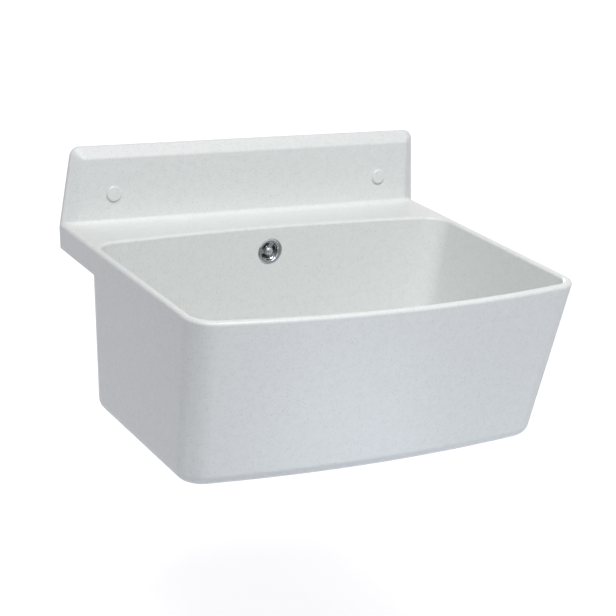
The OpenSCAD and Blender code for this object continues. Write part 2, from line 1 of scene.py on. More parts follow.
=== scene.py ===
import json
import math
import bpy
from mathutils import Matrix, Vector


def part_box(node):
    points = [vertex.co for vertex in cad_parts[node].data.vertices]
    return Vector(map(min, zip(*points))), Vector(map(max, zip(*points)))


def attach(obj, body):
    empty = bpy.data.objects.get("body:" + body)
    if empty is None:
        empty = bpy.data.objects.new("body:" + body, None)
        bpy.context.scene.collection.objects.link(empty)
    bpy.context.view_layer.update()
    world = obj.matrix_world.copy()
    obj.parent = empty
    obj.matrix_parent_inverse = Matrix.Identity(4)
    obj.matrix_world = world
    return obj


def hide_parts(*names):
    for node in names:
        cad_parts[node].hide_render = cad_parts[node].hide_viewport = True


bl_info = {
    "name": "Wall-hung utility sink",
    "version": (1, 0, 0),
    "blender": (4, 5, 0),
    "location": "View3D > Sidebar > Sink",
    "description": "Builds the visible pieces of a wall-hung utility sink round its construction model",
    "category": "Add Mesh",
}

import bmesh
import bpy
import numpy as np
from bpy.props import FloatProperty, FloatVectorProperty, IntProperty, PointerProperty
from mathutils import Matrix, Vector

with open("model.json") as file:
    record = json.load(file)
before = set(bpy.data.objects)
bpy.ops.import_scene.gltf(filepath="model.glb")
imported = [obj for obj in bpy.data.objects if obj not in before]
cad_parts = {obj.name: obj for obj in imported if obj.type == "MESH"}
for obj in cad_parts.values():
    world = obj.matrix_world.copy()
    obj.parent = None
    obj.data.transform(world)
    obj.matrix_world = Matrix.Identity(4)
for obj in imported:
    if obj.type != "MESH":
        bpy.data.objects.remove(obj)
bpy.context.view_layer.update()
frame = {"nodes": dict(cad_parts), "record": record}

MM = 0.001
FULL_TURN = 2 * math.pi
QUARTER_TURN = math.pi / 2


# ---------- Places taken from the construction model ----------
def low(node):
    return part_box(node)[0]


def high(node):
    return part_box(node)[1]


def middle(node):
    return (low(node) + high(node)) / 2


def radius_of(node):
    """Radius of a round node, measured along X."""
    return (high(node).x - low(node).x) / 2


# ---------- Settings ----------
def length(name, about, millimetres):
    return FloatProperty(name=name, description=about, default=millimetres * MM, unit="LENGTH", precision=5)


def degrees(name, about, value):
    return FloatProperty(name=name, description=about, default=math.radians(value), unit="ROTATION")


def brightness(name, about, value):
    return FloatProperty(name=name, description=about, default=value, min=0)


def watts(name, about, value):
    return FloatProperty(name=name, description=about, default=value, min=0, unit="POWER")


def colour(name, about, value):
    return FloatVectorProperty(name=name, description=about, default=value, min=0, max=1, subtype="COLOR")


def spot(name, about, value):
    return FloatVectorProperty(
        name=name, description=about, default=value, subtype="TRANSLATION", precision=5)


def number(name, about, value):
    return IntProperty(name=name, description=about, default=value, min=1)


class BasinSettings(bpy.types.PropertyGroup):
    """Sizes of the one-piece basin"""

    width: length("Width", "Overall width across the rim", (high("basin").x - low("basin").x) / MM)
    depth: length("Depth", "From the wall to the middle of the bowed front", -low("basin").y / MM)
    splash_height: length("Splashback height", "Height of the splashback above the rim", 104)
    floor_fall: length("Floor fall", "Fall of the floor from its edge to the waste", 8)
    wall: length("Wall", "Wall thickness of the bowl", 10)
    rim_width: length("Rim width", "Width of the rim, seen from above", 11)
    rim_radius: length("Rim radius", "Radius of the rim's outer edge", 5)
    lip_radius: length("Lip radius", "Radius of the rim's inner edge", 4)
    side_in: length("Side lean", "How far each side leans in by the underside", 19)
    front_in: length("Front lean", "How far the front corners lean in by the underside", 34)
    bow_top: length("Bow at the rim", "Bow of the front at the rim", 28)
    bow_low: length("Bow below", "Bow of the front at the underside", 18)
    corner_top: length("Corner at the rim", "Radius of the front corners at the rim", 38)
    corner_low: length("Corner below", "Radius of the front corners at the underside", 34)
    under_radius: length("Underside radius", "Radius between the walls and the underside", 18)
    floor_radius: length("Floor radius", "Radius between the walls and the floor inside", 22)
    back_gap: length("Back gap", "From the wall to the bowl's outer back wall, at its corners", 86)
    back_bow: length("Back bow", "Bow of the back wall towards the wall", 15)
    back_in: length("Back lean", "How far the back wall leans in by the underside", 4)
    back_corner_top: length("Back corner", "Radius of the bowl's back corners under the ledge", 42)
    back_corner_low: length("Back corner below", "Radius of the bowl's back corners at the underside", 34)
    ledge: length("Ledge", "Thickness of the ledge", 9)
    skirt: length("Skirt", "Height of the skirt under the ledge", 34)
    skirt_step: length("Skirt step", "Slope of the skirt's lower edge", 1.5)
    skirt_radius: length("Skirt radius", "Radius of the skirt's lower edge", 1.5)
    splash_depth: length("Splashback depth", "Thickness of the splashback with its bevel", 14.5)
    splash_edge: length("Splashback edge", "Thickness of the splashback at its outer edge", 3.5)
    bevel_width: length("Bevel", "Width of the bevel along the top and at the top of the sides", 14.5)
    bevel_foot: length("Bevel foot", "Width of the bevel at the foot of the sides", 19)
    splash_in: length("Splashback lean", "How far each side of the splashback leans in by its top", 10)
    splash_radius: length("Splashback corner", "Radius of the splashback's top corners", 14)
    splash_inset: length("Splashback inset", "How far the splashback's foot stays inside the ledge", 0.4)
    bevel_soft: length("Bevel edge", "How far the bevel's edges are eased", 2.2)
    root_radius: length("Root radius", "Radius of the hollow between splashback and ledge", 8)
    pocket: length("Pocket", "Depth of the ribbed pockets in the splashback's back", 6)
    pocket_margin: length("Pocket margin", "Flat margin above and below the pockets", 12)
    rib: length("Rib", "Thickness of the ribs in the pockets and under the ledge", 5)
    rib_up: length("Rib end", "How far the ledge's ribs end above the skirt's edge", 5)
    rib_edge: length("Rib edge", "Radius of the ribs' edges", 1.2)
    rib_pitches: number("Rib pitches", "Ribs between one wall screw and the other", 8)
    boss_radius: length("Boss radius", "Radius of the solid bosses round the wall screws", 13)
    pad_radius: length("Overflow pad", "Radius of the flat pad behind the overflow", 25)
    screw_hole: length("Screw hole", "Radius of the clearance holes for the wall screws", 5.5)
    screw_sink: length("Screw sink", "Radius of the counterbore in front of each wall screw", 9)
    screw_sink_floor: length("Screw sink floor", "From the wall to the floor of that counterbore", 8)
    overflow_hole: length("Overflow hole", "Radius of the overflow hole", 14)
    waste_hole: length("Waste hole", "Radius of the hole in the floor", 27)


class FixingSettings(bpy.types.PropertyGroup):
    """Sizes of the wall screws, their cups and their cover caps"""

    cap_edge: length("Cap edge", "Radius of the cover cap's edge", 1.8)
    cap_dome: length("Cap dome", "How far the middle of the cap stands proud of its edge", 0.25)
    cup_bore: length("Cup bore", "Inner radius of the cup", 7.5)
    cup_floor: length("Cup floor", "Thickness of the cup's floor", 1.5)
    thread: length("Thread radius", "Outer radius of the wall screw's thread", 4)
    thread_depth: length("Thread depth", "Depth of the wall screw's thread", 1.0)
    thread_pitch: length("Thread pitch", "Pitch of the wall screw's thread", 3.2)
    tip: length("Tip", "Length of the screw's pointed end", 8)
    head: length("Head", "Radius of the screw's head", 6)
    head_height: length("Head height", "Height of the screw's head", 3.5)
    socket: length("Socket", "Radius over the corners of the hexagon in the head", 2.9)


class OverflowSettings(bpy.types.PropertyGroup):
    """Sizes of the overflow and its hose"""

    slots: number("Slots", "Slots in the rosette", 3)
    slot_span: degrees("Slot span", "Angle that each slot takes up", 76)
    slot_turn: degrees("Slot turn", "Angle of the first slot", 6)
    rosette_room: length("Rosette room", "Gap round the rosette in its seat", 0.3)
    seal: length("Seal", "Thickness of the rosette's seal", 1)
    hub: length("Hub", "Radius of the rosette's hub", 6.2)
    bolt: length("Bolt", "Radius of the rosette's screw", 2.5)
    bolt_head: length("Bolt head", "Radius of that screw's head", 4.6)
    elbow_wall: length("Elbow wall", "Wall thickness of the elbow", 3)
    port: length("Port", "Outer radius of the threaded ports", 14)
    port_bore: length("Port bore", "Bore radius of the ports", 9)
    hose: length("Hose", "Outer radius of the hose at its ribs", 12.8)
    hose_rib: length("Hose rib", "Depth of the hose's ribs", 1.7)
    hose_pitch: length("Hose pitch", "Distance from rib to rib", 5)
    hose_bend: length("Hose bend", "Radius of the hose's bend", 46)
    cuff: length("Cuff", "Plain length at each end of the hose", 26)
    cuff_radius: length("Cuff radius", "Outer radius of the plain ends", 12)
    hose_wall: length("Hose wall", "Wall thickness of the hose", 1.2)
    grips: number("Grips", "Grip bars round a nut", 16)


class WasteSettings(bpy.types.PropertyGroup):
    """Sizes of the strainer waste and its plug"""

    dish: length("Dish", "Depth of the strainer's dish", 15)
    dish_top: length("Dish top", "Inner radius of the dish at its flange", 25.5)
    dish_low: length("Dish floor", "Inner radius of the dish at its floor", 23)
    sheet: length("Sheet", "Thickness of the strainer's sheet", 1.2)
    stem: length("Stem", "Radius of the strainer's screw", 3)
    stem_head: length("Stem head", "Radius of that screw's head", 6.5)
    outlet: length("Outlet", "Outer radius of the outlet's thread", 23.9)
    outlet_bore: length("Outlet bore", "Bore radius of the outlet", 19.5)
    outlet_length: length("Outlet length", "Length of the outlet's thread", 18)
    cone: length("Cone", "Height of the cone above the outlet", 6)
    body_bore: length("Body bore", "Inner radius of the waste body", 27)
    body_wall: length("Body wall", "Wall thickness of the waste body", 3)
    arms: number("Arms", "Arms that hold the hub in the waste body", 3)
    arm_turn: degrees("Arm turn", "Angle of the first arm", 30)


class FinishSettings(bpy.types.PropertyGroup):
    """Colours of the sink's materials"""

    granite: colour("Stone", "Moulded basin and caps", (0.765, 0.790, 0.780))
    speck: colour("Speck", "Dark grains in the moulded stone", (0.36, 0.37, 0.38))
    pale_speck: colour("Pale speck", "White grains in the moulded stone", (0.90, 0.91, 0.92))
    plastic: colour("Plastic", "Moulded white fittings", (0.80, 0.80, 0.78))
    hose: colour("Hose", "Ribbed hose", (0.72, 0.72, 0.69))
    chrome: colour("Chrome", "Rosette", (0.50, 0.51, 0.53))
    steel: colour("Steel", "Strainer and its screws", (0.62, 0.63, 0.64))
    zinc: colour("Zinc", "Wall screws", (0.55, 0.57, 0.60))
    brass: colour("Brass", "Threaded inserts", (0.68, 0.50, 0.22))
    rubber: colour("Rubber", "Seals and plug", (0.022, 0.022, 0.024))
    bloom: colour("Bloom", "Dusty bloom on the rubber", (0.075, 0.075, 0.077))


class StageSettings(bpy.types.PropertyGroup):
    """Camera, floor and light"""

    camera_place: spot("Camera place", "Where the camera stands", (-1.10977, -2.08365, 0.61440))
    azimuth: degrees("Azimuth", "Turn of the view round the vertical", -30.46)
    elevation: degrees("Elevation", "Angle of the view above the horizon", 18.56)
    roll: degrees("Roll", "Turn of the camera about its own axis", 4.59)
    lens: FloatProperty(
        name="Lens", description="Focal length on a sensor 36 mm wide", default=102.14, unit="CAMERA")
    rim_height: length("Rim height", "Height of the rim above the room's floor", 850)
    floor_half: length("Floor half", "Half the side of the square floor", 14000)
    floor_tint: colour("Floor tint", "Colour of the floor", (0.585, 0.59, 0.64))
    floor_glow: brightness("Floor glow", "Light that the floor adds where the camera sees it", 0.74)
    world_light: brightness("World", "Strength of the light from all round", 0.26)
    world_tint: colour("World tint", "Colour of that light", (1.0, 0.975, 1.0))
    key_light: brightness("Key", "Strength of the even light from above and in front", 1.22)
    key_spread: degrees("Key spread", "Angle that the even light comes from", 16)
    key_from: spot("Key from", "Direction that the even light comes from", (-0.32, -0.54, 0.75))
    back_light: brightness("Back", "Strength of the even light from behind", 1.35)
    back_from: spot("Back from", "Direction that the light from behind comes from", (0.25, 0.95, 0.12))
    low_light: watts("Low", "Power of the lamp low in front", 2.6)
    low_size: length("Low size", "Side of the low lamp", 500)
    low_tint: colour("Low tint", "Colour of the low lamps", (0.78, 0.90, 1.0))
    low_place: spot("Low place", "Where the low lamp stands", (0.3, -0.9, -0.85))
    side_light: watts("Side", "Power of the lamp low at the left", 0.6)
    side_size: length("Side size", "Side of that lamp", 400)
    side_place: spot("Side place", "Where that lamp stands", (-0.85, -0.35, -0.85))
    top_light: watts("Top", "Power of the lamp over the bowl", 6.9)
    top_size: length("Top size", "Side of the lamp over the bowl", 350)
    top_place: spot("Top place", "Where the lamp over the bowl hangs", (0, -0.92, 1.0))


# ---------- Meshes ----------
SAME_POINT = 1e-7    # points nearer than this, in metres, are merged
ON_AXIS = 1e-6       # a ring smaller than this, in metres, is a single point
SIDE_SHARE = 0.48    # most of a side that one rounded corner takes up
POINT_WIDTH = 0.12   # width of a screw's pointed end, as a share of the screw's
CREST_POWER = 1.5    # how narrow a thread's crest is; 1 is an even wave


def quarter(steps):
    """Angles of a quarter turn, in even steps."""
    return np.linspace(0, QUARTER_TURN, steps + 1)


def new_object(name, mesh):
    piece = bpy.data.objects.new(name, mesh)
    bpy.context.scene.collection.objects.link(piece)
    return piece


def mesh_from(name, points, faces):
    mesh = bpy.data.meshes.new(name)
    mesh.from_pydata([tuple(p) for p in points], [], faces)
    mesh.validate()
    return mesh


def facing_out(mesh):
    """Merges doubles and turns all faces outwards."""
    work = bmesh.new()
    work.from_mesh(mesh)
    bmesh.ops.remove_doubles(work, verts=work.verts, dist=SAME_POINT)
    bmesh.ops.recalc_face_normals(work, faces=work.faces)
    work.to_mesh(mesh)
    work.free()
    return mesh


def moved(mesh, matrix):
    mesh.transform(matrix)
    return mesh


def joined(name, meshes):
    """New object that holds several meshes side by side."""
    piece = new_object(name, bpy.data.meshes.new(name))
    work = bmesh.new()
    for mesh in meshes:
        work.from_mesh(mesh)
    work.to_mesh(piece.data)
    work.free()
    return piece


def filleted(corners, steps=5):
    """Closed outline with its corners rounded; a corner is (x, y) or (x, y, radius)."""
    outline = []
    for i, corner in enumerate(corners):
        here = np.array(corner[:2])
        radius = corner[2] if len(corner) > 2 else 0
        if radius <= 0:
            outline.append(here)
            continue
        before = np.array(corners[i - 1][:2]) - here
        after = np.array(corners[(i + 1) % len(corners)][:2]) - here
        a, b = np.linalg.norm(before), np.linalg.norm(after)
        half = math.acos(np.clip(before @ after / (a * b), -1, 1)) / 2
        reach = min(radius / math.tan(half), SIDE_SHARE * a, SIDE_SHARE * b)
        start, end = here + before / a * reach, here + after / b * reach
        for k in range(steps + 1):
            t = k / steps
            outline.append((1 - t) ** 2 * start + 2 * t * (1 - t) * here + t * t * end)
    return outline


def ring_of(radius, height, steps):
    """Points of a level circle round Z."""
    turns = [FULL_TURN * k / steps for k in range(steps)]
    return [(radius * math.cos(turn), radius * math.sin(turn), height) for turn in turns]


def revolved(name, corners, steps=96, place=None):
    """Solid of revolution about Z from a closed outline of (radius, height, fillet) corners, in millimetres.

    The mesh is moved by the place, where one is given.
    """
    points, faces, rings = [], [], []
    for radius, height in [np.array(p) * MM for p in filleted(corners)]:
        if radius < ON_AXIS:
            rings.append([len(points)] * steps)
            points.append((0, 0, height))
            continue
        rings.append(list(range(len(points), len(points) + steps)))
        points += ring_of(radius, height, steps)
    for ring, following in zip(rings, rings[1:] + rings[:1]):
        for k in range(steps):
            j = (k + 1) % steps
            face = list(dict.fromkeys([ring[k], ring[j], following[j], following[k]]))
            if len(face) > 2:
                faces.append(face)
    mesh = facing_out(mesh_from(name, points, faces))
    return moved(mesh, place) if place else mesh


def threaded(name, outer, depth, pitch, bottom, top, inner=0.0, taper=0.0, steps=40, rows=8, place=None):
    """Threaded rod or sleeve about Z, in millimetres.

    Its ridge runs out at both ends, or it narrows to a point over the taper.
    """
    count = int((top - bottom) / pitch * rows)
    points, faces = [], []
    for i in range(count + 1):
        height = bottom + (top - bottom) * i / count
        fade = min(1, (top - height) / pitch, max(height - bottom, 0) / pitch if not taper else 1)
        narrow = min(1, POINT_WIDTH + (1 - POINT_WIDTH) * (height - bottom) / taper) if taper else 1
        for k in range(steps):
            wave = 0.5 + 0.5 * math.cos(FULL_TURN * (height / pitch - k / steps))
            radius = (outer - depth + depth * max(0, fade) * wave ** CREST_POWER) * narrow
            turn = FULL_TURN * k / steps
            points.append((radius * math.cos(turn), radius * math.sin(turn), height))
    ends = [(bottom, 0), (top, count)]
    for i in range(count):
        for k in range(steps):
            j = (k + 1) % steps
            faces.append([i * steps + k, i * steps + j, (i + 1) * steps + j, (i + 1) * steps + k])
    if inner:
        first = len(points)
        for height, _ in ends:
            points += ring_of(inner, height, steps)
        for k in range(steps):
            j = (k + 1) % steps
            low_in, high_in = first + k, first + steps + k
            low_next, high_next = first + j, first + steps + j
            faces.append([low_in, high_in, high_next, low_next])
            faces.append([k, low_in, low_next, j])
            faces.append([count * steps + k, count * steps + j, high_next, high_in])
    else:
        for height, row in ends:
            points.append((0, 0, height))
            faces += [[len(points) - 1, row * steps + k, row * steps + (k + 1) % steps] for k in range(steps)]
    mesh = facing_out(mesh_from(name, [(x * MM, y * MM, z * MM) for x, y, z in points], faces))
    return moved(mesh, place) if place else mesh


def box_mesh(name, lowest, highest, fillet=0.0):
    """Box between two corners in metres, with its edges rounded."""
    work = bmesh.new()
    bmesh.ops.create_cube(work, size=1)
    size = Vector(highest) - Vector(lowest)
    bmesh.ops.scale(work, vec=size, verts=work.verts)
    bmesh.ops.translate(work, vec=(Vector(lowest) + Vector(highest)) / 2, verts=work.verts)
    if fillet:
        bmesh.ops.bevel(work, geom=work.edges[:], offset=fillet, segments=3, profile=0.5, affect="EDGES")
    mesh = bpy.data.meshes.new(name)
    work.to_mesh(mesh)
    work.free()
    return mesh


def loft(name, rings):
    """Closed solid through rings of equal length."""
    count, rows = len(rings[0]), len(rings)
    points = [tuple(p) for ring in rings for p in ring]
    faces = []
    for j in range(rows - 1):
        for i in range(count):
            k = (i + 1) % count
            faces.append([j * count + i, j * count + k, (j + 1) * count + k, (j + 1) * count + i])
    for ring, start in ((rings[0], 0), (rings[-1], (rows - 1) * count)):
        points.append(tuple((np.array(ring[0]) + np.array(ring[count // 2])) / 2))
        faces += [[len(points) - 1, start + i, start + (i + 1) % count] for i in range(count)]
    return facing_out(mesh_from(name, points, faces))


def rod(radius, start, end, steps=128):
    """Cylinder between two points in metres."""
    start, end = Vector(start), Vector(end)
    span = (end - start).length / MM
    turn = (end - start).to_track_quat("Z", "Y").to_matrix().to_4x4()
    outline = [(0, 0), (radius / MM, 0), (radius / MM, span), (0, span)]
    return revolved("rod", outline, steps, Matrix.Translation(start) @ turn)


def applied(piece):
    """The piece as a plain mesh, with its modifiers gone."""
    bpy.context.view_layer.update()
    graph = bpy.context.evaluated_depsgraph_get()
    mesh = bpy.data.meshes.new_from_object(piece.evaluated_get(graph), depsgraph=graph)
    piece.modifiers.clear()
    piece.data = mesh
    return piece


def taken(piece):
    """The piece's mesh, once its object is gone."""
    mesh = piece.data
    bpy.data.objects.remove(piece)
    return mesh


def combined(piece, tools, operation):
    """Adds or cuts the tools' meshes, which are used up."""
    for mesh in tools:
        tool = new_object("tool", mesh)
        cut = piece.modifiers.new("combine", "BOOLEAN")
        cut.operation = operation
        cut.solver = "MANIFOLD"
        cut.object = tool
        applied(piece)
        bpy.data.objects.remove(tool)
    if not piece.data.polygons:
        raise RuntimeError(f"nothing is left of {piece.name}")
    return piece


def finished(piece, slot, node_name, body="sink", sharp=32):
    """Smooth shading with crisp edges, then the material, the body and the node that it stands for."""
    mesh = piece.data
    mesh.materials.clear()
    mesh.materials.append(material_for(slot))
    mesh.shade_smooth()
    mesh.set_sharp_from_angle(angle=math.radians(sharp))
    even = piece.modifiers.new("even", "WEIGHTED_NORMAL")
    even.keep_sharp = True
    even.weight = 90
    applied(piece)
    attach(piece, body)
    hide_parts(node_name)


# ---------- Geometry node trees ----------
HOSE_RINGS = 10.0    # rings of the hose's mesh in one rib
RIB_FLANK = 0.95     # steepness of a rib's flanks; 0.5 is an even wave


def node_tree(name, sockets):
    """New tree with a geometry output and the named inputs: the tree, its input node and its output node."""
    tree = bpy.data.node_groups.new(name, "GeometryNodeTree")
    tree.interface.new_socket("Geometry", in_out="INPUT", socket_type="NodeSocketGeometry")
    for label, kind in sockets.items():
        tree.interface.new_socket(label, in_out="INPUT", socket_type="NodeSocket" + kind)
    tree.interface.new_socket("Geometry", in_out="OUTPUT", socket_type="NodeSocketGeometry")
    return tree, tree.nodes.new("NodeGroupInput"), tree.nodes.new("NodeGroupOutput")


def fed(tree, socket, value):
    """Links an input to another socket, or sets it to a value."""
    if isinstance(value, bpy.types.NodeSocket):
        tree.links.new(value, socket)
    else:
        socket.default_value = value


def node(tree, kind, settings=None, **inputs):
    """Adds a node; an input's name has _ for a space, or is i and the input's place in the list."""
    made = tree.nodes.new(kind)
    for key, value in (settings or {}).items():
        setattr(made, key, value)
    for key, value in inputs.items():
        by_place = key[0] == "i" and key[1:].isdigit()
        fed(tree, made.inputs[int(key[1:]) if by_place else key.replace("_", " ")], value)
    return made


def maths(tree, operation, *values):
    made = node(tree, "ShaderNodeMath", {"operation": operation})
    for socket, value in zip(made.inputs, values):
        fed(tree, socket, value)
    return made.outputs[0]


def grown(piece, tree, **inputs):
    """Runs a tree on the piece with its inputs set by name, and makes the result a plain mesh."""
    modifier = piece.modifiers.new("grow", "NODES")
    modifier.node_group = tree
    keys = {item.name: item.identifier for item in tree.interface.items_tree if item.in_out == "INPUT"}
    for label, value in inputs.items():
        modifier[keys[label.replace("_", " ")]] = value
    return applied(piece)


def close_tree(tree, geometry, material, output):
    """Ends a tree with real copies that have the material."""
    real = node(tree, "GeometryNodeRealizeInstances", Geometry=geometry)
    painted = node(tree, "GeometryNodeSetMaterial", Geometry=real.outputs[0], Material=material)
    tree.links.new(painted.outputs[0], output.inputs[0])


def row_tree():
    """Copies of a tool in a row along X."""
    tree, given, output = node_tree("Row of cells", {
        "Tool": "Object", "Count": "Int", "Pitch": "Float", "Start": "Float", "Material": "Material"})
    tool = node(tree, "GeometryNodeObjectInfo", Object=given.outputs["Tool"])
    step = node(tree, "ShaderNodeCombineXYZ", X=given.outputs["Pitch"])
    start = node(tree, "ShaderNodeCombineXYZ", X=given.outputs["Start"])
    line = node(tree, "GeometryNodeMeshLine", Count=given.outputs["Count"], Start_Location=start.outputs[0],
                Offset=step.outputs[0])
    copies = node(tree, "GeometryNodeInstanceOnPoints", Points=line.outputs[0],
                  Instance=tool.outputs["Geometry"])
    close_tree(tree, copies.outputs[0], given.outputs["Material"], output)
    return tree


def ring_tree(operation):
    """Copies of a tool round Z, added to the piece or cut out of it."""
    tree, given, output = node_tree("Ring " + operation.lower(), {
        "Tool": "Object", "Count": "Int", "Radius": "Float", "Turn": "Float", "Material": "Material"})
    tool = node(tree, "GeometryNodeObjectInfo", Object=given.outputs["Tool"])
    ring = node(tree, "GeometryNodeMeshCircle", Vertices=given.outputs["Count"], Radius=1.0)
    index = node(tree, "GeometryNodeInputIndex").outputs[0]
    step = maths(tree, "DIVIDE", FULL_TURN, given.outputs["Count"])
    turn = maths(tree, "ADD", given.outputs["Turn"], maths(tree, "MULTIPLY", index, step))
    across = maths(tree, "MULTIPLY", given.outputs["Radius"], maths(tree, "COSINE", turn))
    along = maths(tree, "MULTIPLY", given.outputs["Radius"], maths(tree, "SINE", turn))
    place = node(tree, "ShaderNodeCombineXYZ", X=across, Y=along)
    placed = node(tree, "GeometryNodeSetPosition", Geometry=ring.outputs[0], Position=place.outputs[0])
    turned = node(tree, "ShaderNodeCombineXYZ", Z=turn)
    copies = node(tree, "GeometryNodeInstanceOnPoints", Points=placed.outputs[0],
                  Instance=tool.outputs["Geometry"], Rotation=turned.outputs[0])
    real = node(tree, "GeometryNodeRealizeInstances", Geometry=copies.outputs[0])
    result = node(tree, "GeometryNodeMeshBoolean", {"operation": operation, "solver": "MANIFOLD"})
    if operation == "DIFFERENCE":
        tree.links.new(given.outputs["Geometry"], result.inputs[0])
        tree.links.new(real.outputs[0], result.inputs[1])
    else:
        tree.links.new(real.outputs[0], result.inputs[1])
        tree.links.new(given.outputs["Geometry"], result.inputs[1])
    close_tree(tree, result.outputs[0], given.outputs["Material"], output)
    return tree


def ringed(piece, operation, mesh, count, slot, radius=0.0, turn=0.0):
    """Adds copies of a tool's mesh in a ring round Z, or cuts them out."""
    tool = new_object("tool", mesh)
    grown(piece, ring_tree(operation), Tool=tool, Count=count, Radius=radius, Turn=turn,
          Material=material_for(slot))
    bpy.data.objects.remove(tool)


def hose_tree():
    """Outer face of a tube along a route, ribbed in the middle and plain at both ends."""
    tree, given, output = node_tree("Ribbed hose", {
        "Route": "Object", "Radius": "Float", "Rib": "Float", "Pitch": "Float", "Cuff": "Float",
        "Cuff Radius": "Float", "Length": "Float", "Material": "Material"})
    pitch, start = given.outputs["Pitch"], given.outputs["Cuff"]
    route = node(tree, "GeometryNodeObjectInfo", Object=given.outputs["Route"])
    fine = node(tree, "GeometryNodeResampleCurve", {"mode": "LENGTH"}, Curve=route.outputs["Geometry"],
                Length=maths(tree, "DIVIDE", pitch, HOSE_RINGS))
    along = node(tree, "GeometryNodeSplineParameter").outputs["Length"]
    stop = maths(tree, "SUBTRACT", given.outputs["Length"], start)
    phase = maths(tree, "DIVIDE", maths(tree, "SUBTRACT", along, start), pitch)
    swing = maths(tree, "COSINE", maths(tree, "MULTIPLY", phase, FULL_TURN))
    wave = maths(tree, "MULTIPLY_ADD", swing, -RIB_FLANK, 0.5)
    crest = node(tree, "ShaderNodeClamp", Value=wave).outputs[0]
    valley = maths(tree, "SUBTRACT", given.outputs["Radius"], given.outputs["Rib"])
    ribbed = maths(tree, "MULTIPLY_ADD", crest, given.outputs["Rib"], valley)
    past_start = maths(tree, "GREATER_THAN", along, start)
    inside = maths(tree, "MULTIPLY", past_start, maths(tree, "LESS_THAN", along, stop))
    radius = node(tree, "ShaderNodeMix", {"data_type": "FLOAT"}, i0=inside, i2=given.outputs["Cuff Radius"],
                  i3=ribbed)
    sized = node(tree, "GeometryNodeSetCurveRadius", Curve=fine.outputs[0], Radius=radius.outputs[0])
    circle = node(tree, "GeometryNodeCurvePrimitiveCircle", Resolution=48, Radius=1.0)
    tube = node(tree, "GeometryNodeCurveToMesh", Curve=sized.outputs[0], Profile_Curve=circle.outputs[0])
    if "Scale" in tube.inputs:
        tree.links.new(radius.outputs[0], tube.inputs["Scale"])
    close_tree(tree, tube.outputs[0], given.outputs["Material"], output)
    return tree


# ---------- Materials ----------
def surface(name, base, roughness, metallic=0.0, specular=0.5):
    """New material: its tree, its shader and the object's own coordinates."""
    material = bpy.data.materials.new(name)
    material.use_nodes = True
    tree = material.node_tree
    shader = tree.nodes["Principled BSDF"]
    shader.inputs["Base Color"].default_value = (*base, 1)
    shader.inputs["Roughness"].default_value = roughness
    shader.inputs["Metallic"].default_value = metallic
    shader.inputs["Specular IOR Level"].default_value = specular
    place = tree.nodes.new("ShaderNodeTexCoord").outputs["Object"]
    return material, tree, shader, place


def noise(tree, place, scale, detail=3.0, stretch=None):
    """Soft noise about 0.5; its scale is in spots per metre, and a larger stretch makes them narrower."""
    if stretch:
        place = node(tree, "ShaderNodeMapping", Vector=place, Scale=stretch).outputs[0]
    return node(tree, "ShaderNodeTexNoise", Vector=place, Scale=scale, Detail=detail).outputs["Fac"]


def ranged(tree, value, given, wanted):
    """Value brought from one range, clamped at both ends, to another."""
    return node(tree, "ShaderNodeMapRange", Value=value, From_Min=given[0], From_Max=given[1],
                To_Min=wanted[0], To_Max=wanted[1]).outputs[0]


def blended(tree, factor, first, second):
    """Mix of two colours, each a colour or a socket."""
    mix = node(tree, "ShaderNodeMix", {"data_type": "RGBA"}, i0=factor)
    for socket, value in ((mix.inputs[6], first), (mix.inputs[7], second)):
        fed(tree, socket, value if isinstance(value, bpy.types.NodeSocket) else (*value, 1))
    return mix.outputs[2]


def coloured(tree, shader, socket):
    tree.links.new(socket, shader.inputs["Base Color"])


def roughened(tree, shader, pattern, least, most, given=(0.3, 0.7)):
    """Roughness that follows a pattern, from least to most over the given range."""
    tree.links.new(ranged(tree, pattern, given, (least, most)), shader.inputs["Roughness"])


def bumped(tree, shader, height, distance, strength):
    bump = node(tree, "ShaderNodeBump", Height=height, Distance=distance, Strength=strength)
    tree.links.new(bump.outputs[0], shader.inputs["Normal"])


def glowing_through(shader, weight, radius):
    """Light that spreads under the surface, as in pale plastic."""
    shader.inputs["Subsurface Weight"].default_value = weight
    shader.inputs["Subsurface Radius"].default_value = radius


def scaled(base, factor):
    return tuple(min(1, channel * factor) for channel in base)


def specks(tree, place, scale, chance, size):
    """1 inside sparse grains and 0 between them."""
    cells = node(tree, "ShaderNodeTexVoronoi", Vector=place, Scale=scale)
    pick = node(tree, "ShaderNodeTexWhiteNoise", Vector=cells.outputs["Color"]).outputs["Value"]
    chosen = maths(tree, "LESS_THAN", pick, chance)
    core = size * 0.4
    near = ranged(tree, cells.outputs["Distance"], given=(core, size), wanted=(1.0, 0.0))
    return maths(tree, "MULTIPLY", chosen, near)


def granite(finish):
    """Stone-filled polymer: pale, satin, with fine grey and white grains."""
    material, tree, shader, place = surface("moulded_stone", finish.granite, roughness=0.4)
    cloud = ranged(tree, noise(tree, place, scale=120.0, detail=4.0), given=(0.35, 0.65), wanted=(0.0, 1.0))
    base = blended(tree, cloud, scaled(finish.granite, 0.98), scaled(finish.granite, 1.013))
    # Cells per metre, share of the cells with a grain, its size in its cell, its strength and its colour
    kinds = (
        (440.0, 0.30, 0.42, 0.34, finish.speck),
        (1150.0, 0.22, 0.45, 0.16, finish.speck),
        (620.0, 0.16, 0.45, 0.36, finish.pale_speck))
    for scale, chance, size, cover, tint in kinds:
        grains = maths(tree, "MULTIPLY", specks(tree, place, scale, chance, size), cover)
        base = blended(tree, grains, base, tint)
    coloured(tree, shader, base)
    roughened(tree, shader, noise(tree, place, scale=260.0), least=0.31, most=0.41)
    bumped(tree, shader, noise(tree, place, scale=900.0), distance=0.02 * MM, strength=0.25)
    return material


